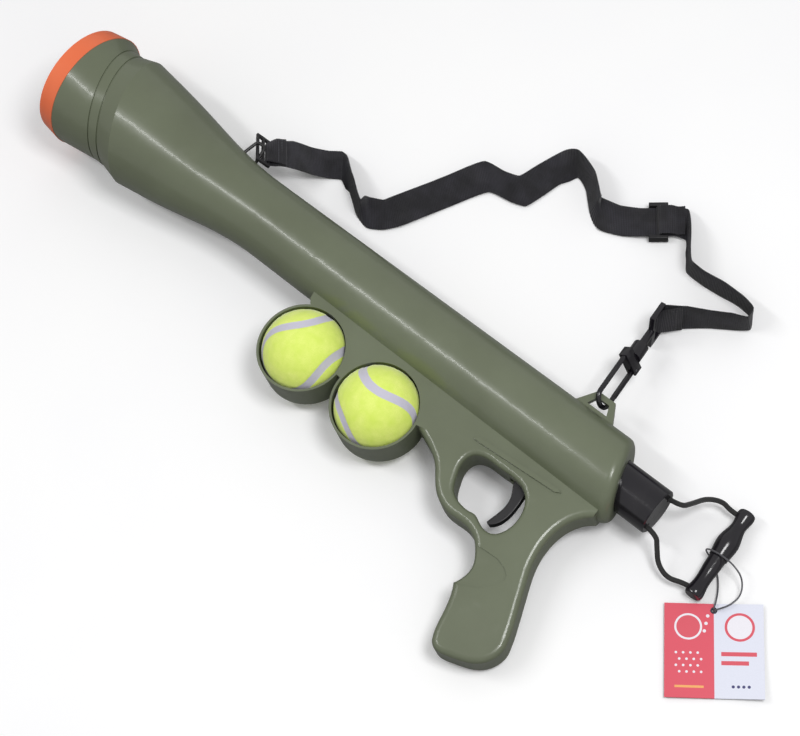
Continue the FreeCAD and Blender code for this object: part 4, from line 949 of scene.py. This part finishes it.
@dataclass
class CarryStrap:
    """The flat webbing with its sewn ends, its slides and its snap hook."""

    width: float = 25.0
    thickness: float = 1.4
    rib_pitch: float = 1.316
    rib_depth: float = 0.2
    lap: float = 15.0
    tightness: float = 0.5
    sewn_rows: tuple[float, ...] = (9.0, 12.0)
    stitch_pitch: float = 2.6
    stitch_length: float = 2.0
    stitch_radius: float = 0.32
    stitch_flatness: float = 0.6
    thread_rise: float = 0.1
    layer_gap: float = 0.2
    front_reach: float = 1.98
    eye_reach: float = 3.0
    turn_steps: int = 12
    rib_flare: float = 0.16
    crumple: float = 0.55
    end_calm: float = 30.0
    straight_calm: float = 15.0
    wave_rates: Point = (96, 233, 61)
    steps: int = 10
    lanes: int = 8
    front_bar: Point = (161.86, 44.66, -10.52)
    eye_bar: Point = (485.88, 125.28, -28.84)
    tail_profile: tuple[tuple[float, float], ...] = (
        (-1.5, 1.65), (-0.6, 1.7), (0.4, 2.2), (1.4, 3.5), (2.4, 4.2), (6.0, 4.4), (10.0, 4.4), (12.0, 3.6),
        (13.6, 2.5), (15.5, 2.0), (18.0, 2.2), (20.5, 2.7))
    straight: tuple[int, int] = (22, 23)
    rows: tuple[tuple[Point, Point], ...] = (
        ((171.5, 37.9, 41.3), (155.0, 52.5, 31.7)), ((176, 42, 38), (158, 60, 34)),
        ((181, 51, 24), (163, 69, 26)), ((188.5, 60, 9), (171, 77, 12)), ((197, 68, 1), (180, 86, 2.5)),
        ((205, 73, 1), (190, 92, 3)), ((219, 68, 1), (220, 75, 25)), ((238, 56, 1), (241, 62, 25)),
        ((253, 54, 1), (239, 71, 11)), ((263, 60, 1), (247, 78, 5)), ((272, 71, 1), (253, 86, 9)),
        ((290, 107, 1), (272, 123, 8)), ((306, 136, 1), (289, 152, 11)), ((326, 140, 1), (309, 154, 13)),
        ((337, 144, 1), (319, 159, 9)), ((342, 160, 1), (322, 174, 6)), ((346, 177, 1), (329, 194, 7)),
        ((353, 189, 1), (345, 200, 22)), ((365, 184, 1), (369, 193, 24)), ((380, 171, 1), (386, 179, 23)),
        ((395, 163, 1), (384, 181, 13)), ((412, 168, 1), (397, 188, 5)),
        ((427, 177, 4.2), (411.5, 196.5, 4.2)), ((446, 192, 4.2), (430.5, 211.5, 4.2)),
        ((455, 195, 2.6), (441.5, 215, 9)), ((464, 184, 1), (461, 194, 23.5)),
        ((472, 174, 1), (476, 176, 25.5)), ((487, 172, 1), (488, 174, 26)),
        ((505, 173, 1), (506, 175, 26)), ((522, 174, 1), (524, 175, 26)), ((534, 172, 1), (536, 172, 26)),
        ((539, 164, 1), (538, 163, 26)), ((530, 156, 1), (526, 158, 25.5)),
        ((517, 148, 1), (514, 151, 25.5)), ((500.5, 135.5, 1), (496.5, 142.5, 25.5)),
        ((487.6, 123.9, 2.4), (485.3, 131.8, 27.0)))

    def stations(self) -> list[Station]:
        """Give the webbing's edge pairs as points in metres."""
        return [(on_table(*low), on_table(*high)) for low, high in self.rows]

    def rounded(self, pairs: list[Station], stiff: tuple[int, int]) -> list[Row]:
        """Run a smooth curve through the pairs.

        Args:
            pairs: edge points.
            stiff: the two stations between which the webbing stays straight.

        Returns:
            Middles and unit vectors across, evenly stepped between the stations.
        """
        middles = [(low + high) / 2 for low, high in pairs]
        across = [(high - low).normalized() for low, high in pairs]
        last = len(middles) - 1
        slopes = []
        for index in range(last + 1):
            slope = middles[min(index + 1, last)] - middles[max(index - 1, 0)]
            if index in stiff:
                slope = middles[stiff[1]] - middles[stiff[0]]
            slopes.append(slope.normalized())
        result = []
        for index in range(last):
            gap = (middles[index + 1] - middles[index]).length * self.tightness
            for step in range(self.steps):
                t = step / self.steps
                ease = t * t * (3 - 2 * t)
                place = middles[index] * (1 - ease) + middles[index + 1] * ease
                place = place + slopes[index] * gap * (t ** 3 - 2 * t ** 2 + t)
                place = place + slopes[index + 1] * gap * (t ** 3 - t ** 2)
                result.append((place, across[index].lerp(across[index + 1], ease).normalized()))
        result.append((middles[-1], across[-1]))
        return result

    def looped(self, path: list[Row], bar: Vector, reach: float) -> tuple[list[Row], list[Row]]:
        """Take the start of the webbing round a bar and lay its end under itself.

        Args:
            path: the webbing's rows, starting at the bar.
            bar: the middle of the bar.
            reach: the distance from the bar's middle to the webbing's, in metres.

        Returns:
            The rows of the folded end followed by the webbing's own, and the rows to sew, each as a place on
            an outer face and the unit vector across.
        """
        first, across = path[0]
        ahead = path[3][0] - first
        ahead = (ahead - across * ahead.dot(across)).normalized()
        face = across.cross(ahead).normalized()
        if (first - bar).dot(face) < 0:
            face = -face
        over, under = [], []
        run = 0.0
        for index, (place, side) in enumerate(path):
            if index:
                run += (place - path[index - 1][0]).length
            share = min(run / (self.lap * MM), 1.0)
            ease = share * share * (3 - 2 * share)
            over.append((place + (bar + face * reach - first) * (1 - ease), side))
            if share < 1:
                drop = face * (self.thickness + self.layer_gap) * MM * ease
                under.append((place + (bar - face * reach - first) * (1 - ease) - drop, side))
        turn = []
        for step in range(1, self.turn_steps):
            angle = math.pi * (step / self.turn_steps - 0.5)
            turn.append((bar + face * reach * math.sin(angle) - ahead * reach * math.cos(angle), across))
        rise = face * (self.thickness / 2 + self.thread_rise) * MM
        sewn = []
        for layer, lift in ((over, rise), (under, -rise)):
            distances = [(place - layer[0][0]).length / MM for place, _ in layer]
            for wanted in self.sewn_rows:
                index = next(number for number, distance in enumerate(distances) if distance > wanted)
                share = (wanted - distances[index - 1]) / (distances[index] - distances[index - 1])
                sewn.append((layer[index - 1][0].lerp(layer[index][0], share) + lift, layer[index][1]))
        return under[::-1] + turn + over, sewn

    def stitch(self, rows: list[Row]) -> None:
        """Sew rows of short stitches across the webbing, all copied from one stitch.

        Args:
            rows: the place of each row's middle and the unit vector across.
        """
        deselect()
        bpy.ops.mesh.primitive_uv_sphere_add(segments=10, ring_count=8, radius=self.stitch_radius * MM)
        first = made("stitch")
        with edit_mode(first):
            stretch = self.stitch_length / self.stitch_radius / 2
            bpy.ops.transform.resize(value=(stretch, 1, self.stitch_flatness))
        smooth(first)
        count = int((self.width - 3) / self.stitch_pitch)
        copies = []
        for place, side in rows:
            turn = Vector((1, 0, 0)).rotation_difference(side).to_matrix().to_4x4()
            for number in range(count + 1):
                offset = side * (number - count / 2) * self.stitch_pitch * MM
                copy = first.copy()
                copy.data = first.data.copy()
                copy.data.transform(Matrix.Translation(place + offset) @ turn)
                copies.append(linked(copy))
        bpy.data.objects.remove(first)
        for copy in copies:
            copy.select_set(True)
        bpy.context.view_layer.objects.active = copies[0]
        bpy.ops.object.join()
        piece = made("strap_stitches")
        dress(piece, THREAD.make())
        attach(piece, Body.HOUSING.value)

    def ribbon(self, name: str, path: list[Row], crumple: float) -> bpy.types.Object:
        """Build ribbed webbing along a path, with a map whose first axis runs along it.

        Args:
            name: the piece's name.
            path: middles and unit vectors across.
            crumple: how far the webbing waves out of its plane, in metres.

        Returns:
            The webbing.
        """
        middles = np.array([tuple(row[0]) for row in path])
        sides = np.array([tuple(row[1]) for row in path])
        run = np.concatenate([[0.0], np.cumsum(np.linalg.norm(np.diff(middles, axis=0), axis=1))])
        count = int(run[-1] / (self.rib_pitch * MM / 4))
        along = np.linspace(0, run[-1], count)
        middles = np.stack([np.interp(along, run, middles[:, k]) for k in range(3)], 1)
        sides = np.stack([np.interp(along, run, sides[:, k]) for k in range(3)], 1)
        sides /= np.linalg.norm(sides, axis=1, keepdims=True)
        faces_out = np.cross(sides, np.gradient(middles, axis=0))
        faces_out /= np.linalg.norm(faces_out, axis=1, keepdims=True)
        for _ in range(3):
            faces_out[1:-1] = (faces_out[:-2] + faces_out[1:-1] * 2 + faces_out[2:]) / 4
        faces_out /= np.linalg.norm(faces_out, axis=1, keepdims=True)
        rib = -np.cos(2 * math.pi * along / (self.rib_pitch * MM))
        lanes = np.linspace(-1, 1, self.lanes + 1)
        calm = np.clip(np.minimum(along, run[-1] - along) / (self.end_calm * MM), 0, 1)
        if crumple:
            stretch = self.straight_span(path, run)
            away = np.maximum(stretch[0] - along, along - stretch[1])
            calm = calm * np.clip(away / (self.straight_calm * MM), 0, 1)
        long, short, slow = (along * rate for rate in self.wave_rates)
        depth = self.thickness / 2 * MM * (1 - self.rib_depth + self.rib_depth * rib)
        points = []
        for up in (1, -1):
            for lane in lanes[::up]:
                half = depth * (1 - 0.35 * abs(lane) ** 8)
                wide = lane * (self.width / 2 + self.rib_flare * rib) * MM
                wave = np.sin(long + lane * 1.4) * 0.6 + np.sin(short - lane * 2.1) * 0.4
                cup = (lane ** 2 - 0.33) * np.sin(slow + 0.7)
                lift = crumple * calm * (wave * 0.6 + cup)
                points.append(middles + sides * wide[:, None] + faces_out * (half * up + lift)[:, None])
        ring = len(points)
        spots = np.stack(points, 1).reshape(-1, 3)
        corner = np.arange(count - 1)[:, None] * ring + np.arange(ring)[None, :]
        after = np.arange(count - 1)[:, None] * ring + (np.arange(ring)[None, :] + 1) % ring
        quads = np.stack([corner, after, after + ring, corner + ring], 2).reshape(-1, 4)
        caps = [tuple(range(ring))[::-1], tuple(range((count - 1) * ring, count * ring))]
        faces = [tuple(map(int, quad)) for quad in quads] + caps
        piece = from_points(name, [Vector(spot) for spot in spots], faces)
        layer = piece.data.uv_layers.new(name="weave")
        owner = np.empty(len(piece.data.loops), dtype=np.int32)
        piece.data.loops.foreach_get("vertex_index", owner)
        across_share = np.concatenate([lanes, lanes[::-1]]) / 2 + 0.5
        weave = np.stack([along[owner // ring], across_share[owner % ring]], 1)
        layer.data.foreach_set("uv", weave.ravel())
        with edit_mode(piece):
            bpy.ops.mesh.normals_make_consistent(inside=False)
        smooth(piece, 70)
        dress(piece, WEBBING_CLOTH.make())
        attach(piece, Body.HOUSING.value)
        return piece

    def straight_span(self, path: list[Row], run: np.ndarray) -> tuple[float, float]:
        """Give where along the path the straight stretch at the adjuster starts and ends, in metres."""
        places = np.array([tuple(row[0]) for row in path])
        found = []
        for index in self.straight:
            low, high = self.stations()[index]
            away = np.linalg.norm(places - np.array(tuple((low + high) / 2)), axis=1)
            found.append(float(run[away.argmin()]))
        return found[0], found[1]

    def tail(self, pairs: list[Station]) -> list[Row]:
        """Give the rows of the sewn end that rises over the adjuster's bar and lies on the webbing."""
        (low, high), (low_after, high_after) = pairs[self.straight[0]], pairs[self.straight[1]]
        spot = (low + high + low_after + high_after) / 4
        side = (high - low).normalized()
        ahead = ((low_after + high_after) - (low + high)).normalized()
        ahead = (ahead - side * ahead.dot(side)).normalized()
        up = ahead.cross(side)
        if up.z < 0:
            up = -up
        return [(spot + (ahead * forward + up * height) * MM, side) for forward, height in self.tail_profile]

    def build(self) -> None:
        """Make the webbing and dress the hardware on it."""
        pairs = self.stations()
        path = self.rounded(pairs, self.straight)
        path, front_rows = self.looped(path, Vector(self.front_bar) * MM, self.front_reach * MM)
        path, eye_rows = self.looped(path[::-1], Vector(self.eye_bar) * MM, self.eye_reach * MM)
        self.stitch(front_rows + eye_rows)
        piece = self.ribbon("carry_webbing", path[::-1], self.crumple * MM)
        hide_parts("strap_webbing")
        self.ribbon("adjuster_tail", self.tail(pairs), 0.0)
        softened("front_slide", Body.HOUSING, SATIN_BLACK, 0.5)
        softened("adjuster_slide", Body.ADJUSTER, SATIN_BLACK, 0.45)
        softened("snap_hook", Body.HOOK, GLOSS_BLACK, 0.7)
        softened("hook_gate", Body.GATE, GLOSS_BLACK, 0.5)
        softened("swivel_eye", Body.HOUSING, GLOSS_BLACK, 0.9)
        LOG.info("carry strap built")


@dataclass
class Studio:
    """Floor, lights and camera."""

    azimuth: float = 62.73
    elevation: float = 67.09
    roll: float = -23.47
    distance: float = 1.47461
    target: Point = (0.36668, -0.02948, 0.0)
    lens: float = 90.0
    floor_reach: float = 4400.0
    floor_gap: float = 1.1
    dip_start: float = 696.0
    dip_run: float = 42.0
    dip_depth: float = 4.8

    def camera(self) -> None:
        """Put the camera where the photograph was taken from."""
        a, e, r = (math.radians(v) for v in (self.azimuth, self.elevation, self.roll))
        back = Vector((math.sin(a) * math.cos(e), -math.cos(a) * math.cos(e), math.sin(e)))
        right = (-back).cross(Vector((0, 0, 1))).normalized()
        up = right.cross(-back)
        turned = right * math.cos(r) + up * math.sin(r)
        raised = up * math.cos(r) - right * math.sin(r)
        data = bpy.data.cameras.new("photo_camera")
        data.lens = self.lens
        data.sensor_width = 36
        data.clip_start = 0.01
        camera = linked(bpy.data.objects.new("photo_camera", data))
        turn = Matrix((turned, raised, back)).transposed().to_4x4()
        camera.matrix_world = Matrix.Translation(Vector(self.target) + back * self.distance) @ turn
        bpy.context.scene.camera = camera

    def floor(self) -> None:
        """Lay the pale floor on the table's plane, a little lower where the drawn plunger takes the tag."""
        slope = [self.dip_start + self.dip_run * step / 12 for step in range(13)]
        rows = [-self.floor_reach, *slope, self.floor_reach]
        points = []
        for x in rows:
            share = min(max((x - self.dip_start) / self.dip_run, 0.0), 1.0)
            height = -self.floor_gap - self.dip_depth * share * share * (3 - 2 * share)
            points += [on_table(x, -self.floor_reach, height), on_table(x, self.floor_reach, height)]
        faces = [(2 * i, 2 * i + 2, 2 * i + 3, 2 * i + 1) for i in range(len(rows) - 1)]
        piece = from_points("studio_floor", points, faces)
        smooth(piece)
        material, wire, shader = new_material("pale_floor")
        place = wire.add("ShaderNodeTexCoord")
        tone = wire.spread(wire.noise(place.outputs["Object"], 6.0), 0.3, 0.7)
        seen = wire.blend(tone, linear((0.99, 0.99, 0.99)), linear((0.98, 0.98, 0.985)))
        path = wire.add("ShaderNodeLightPath")
        bounced = wire.blend(path.outputs["Is Camera Ray"], linear((0.55, 0.55, 0.55)), seen)
        lift = wire.blend(path.outputs["Is Camera Ray"], (0, 0, 0, 1), (0.06, 0.06, 0.06, 1))
        wire.fill(shader, {"Roughness": 0.9, "Specular IOR Level": 0.1, "Base Color": bounced,
                           "Emission Color": lift, "Emission Strength": 1.0})
        dress(piece, material)

    def lamp(self, name: str, place: Point, aim: Point, power: float, face: tuple[float, float]) -> None:
        """Add one soft lamp.

        Args:
            name: the lamp's name.
            place: where it hangs, in metres.
            aim: the point that it faces.
            power: its power in watts.
            face: the sides of its face in metres, the first along the barrel.
        """
        data = bpy.data.lights.new(name, "AREA")
        data.energy = power
        data.shape = "RECTANGLE"
        data.size, data.size_y = face
        lamp = linked(bpy.data.objects.new(name, data))
        back = (Vector(place) - Vector(aim)).normalized()
        along = Vector((1, 0, 0))
        along = (along - back * along.dot(back)).normalized()
        turn = Matrix((along, back.cross(along), back)).transposed().to_4x4()
        lamp.matrix_world = Matrix.Translation(place) @ turn

    def world(self) -> None:
        """Set an even pale world, white to the camera."""
        world = bpy.data.worlds.new("studio_world")
        bpy.context.scene.world = world
        world.use_nodes = True
        wire = Wiring(world.node_tree)
        background = world.node_tree.nodes["Background"]
        background.inputs["Color"].default_value = (1, 1, 1, 1)
        path = wire.add("ShaderNodeLightPath")
        glossy = wire.times(path.outputs["Is Glossy Ray"], 0.15)
        seen = wire.math("MAXIMUM", path.outputs["Is Camera Ray"], glossy)
        wire.join(wire.spread(seen, 0, 1, 0.46, 1.0), background.inputs["Strength"])

    def build(self) -> None:
        """Set up the camera, floor, lamps and world."""
        self.camera()
        self.floor()
        self.world()
        self.lamp("strip", (-0.3, -0.42, 1.4), (0.25, 0.0, 0.0), 5, (0.8, 0.12))
        self.lamp("key", (1.0, 0.25, 1.6), (0.4, 0.0, 0.0), 13, (0.5, 0.5))
        bpy.context.scene.view_settings.view_transform = "Standard"
        LOG.info("studio built")


def main() -> None:
    """Build the studio and each sub-assembly."""
    build_groups()
    Studio().build()
    housing = Housing()
    housing.dress()
    housing.spring()
    plunger = Plunger()
    plunger.dress()
    plunger.cords()
    tag = HangTag()
    tag.card()
    tag.loop()
    TennisBall("front_ball", Body.FRONT_BALL, (129.6, -63.5, -64.8)).build()
    TennisBall("rear_ball", Body.REAR_BALL, (53.6, 22.6, -106.3)).build()
    CarryStrap().build()


if __name__ == "__main__":
    main()
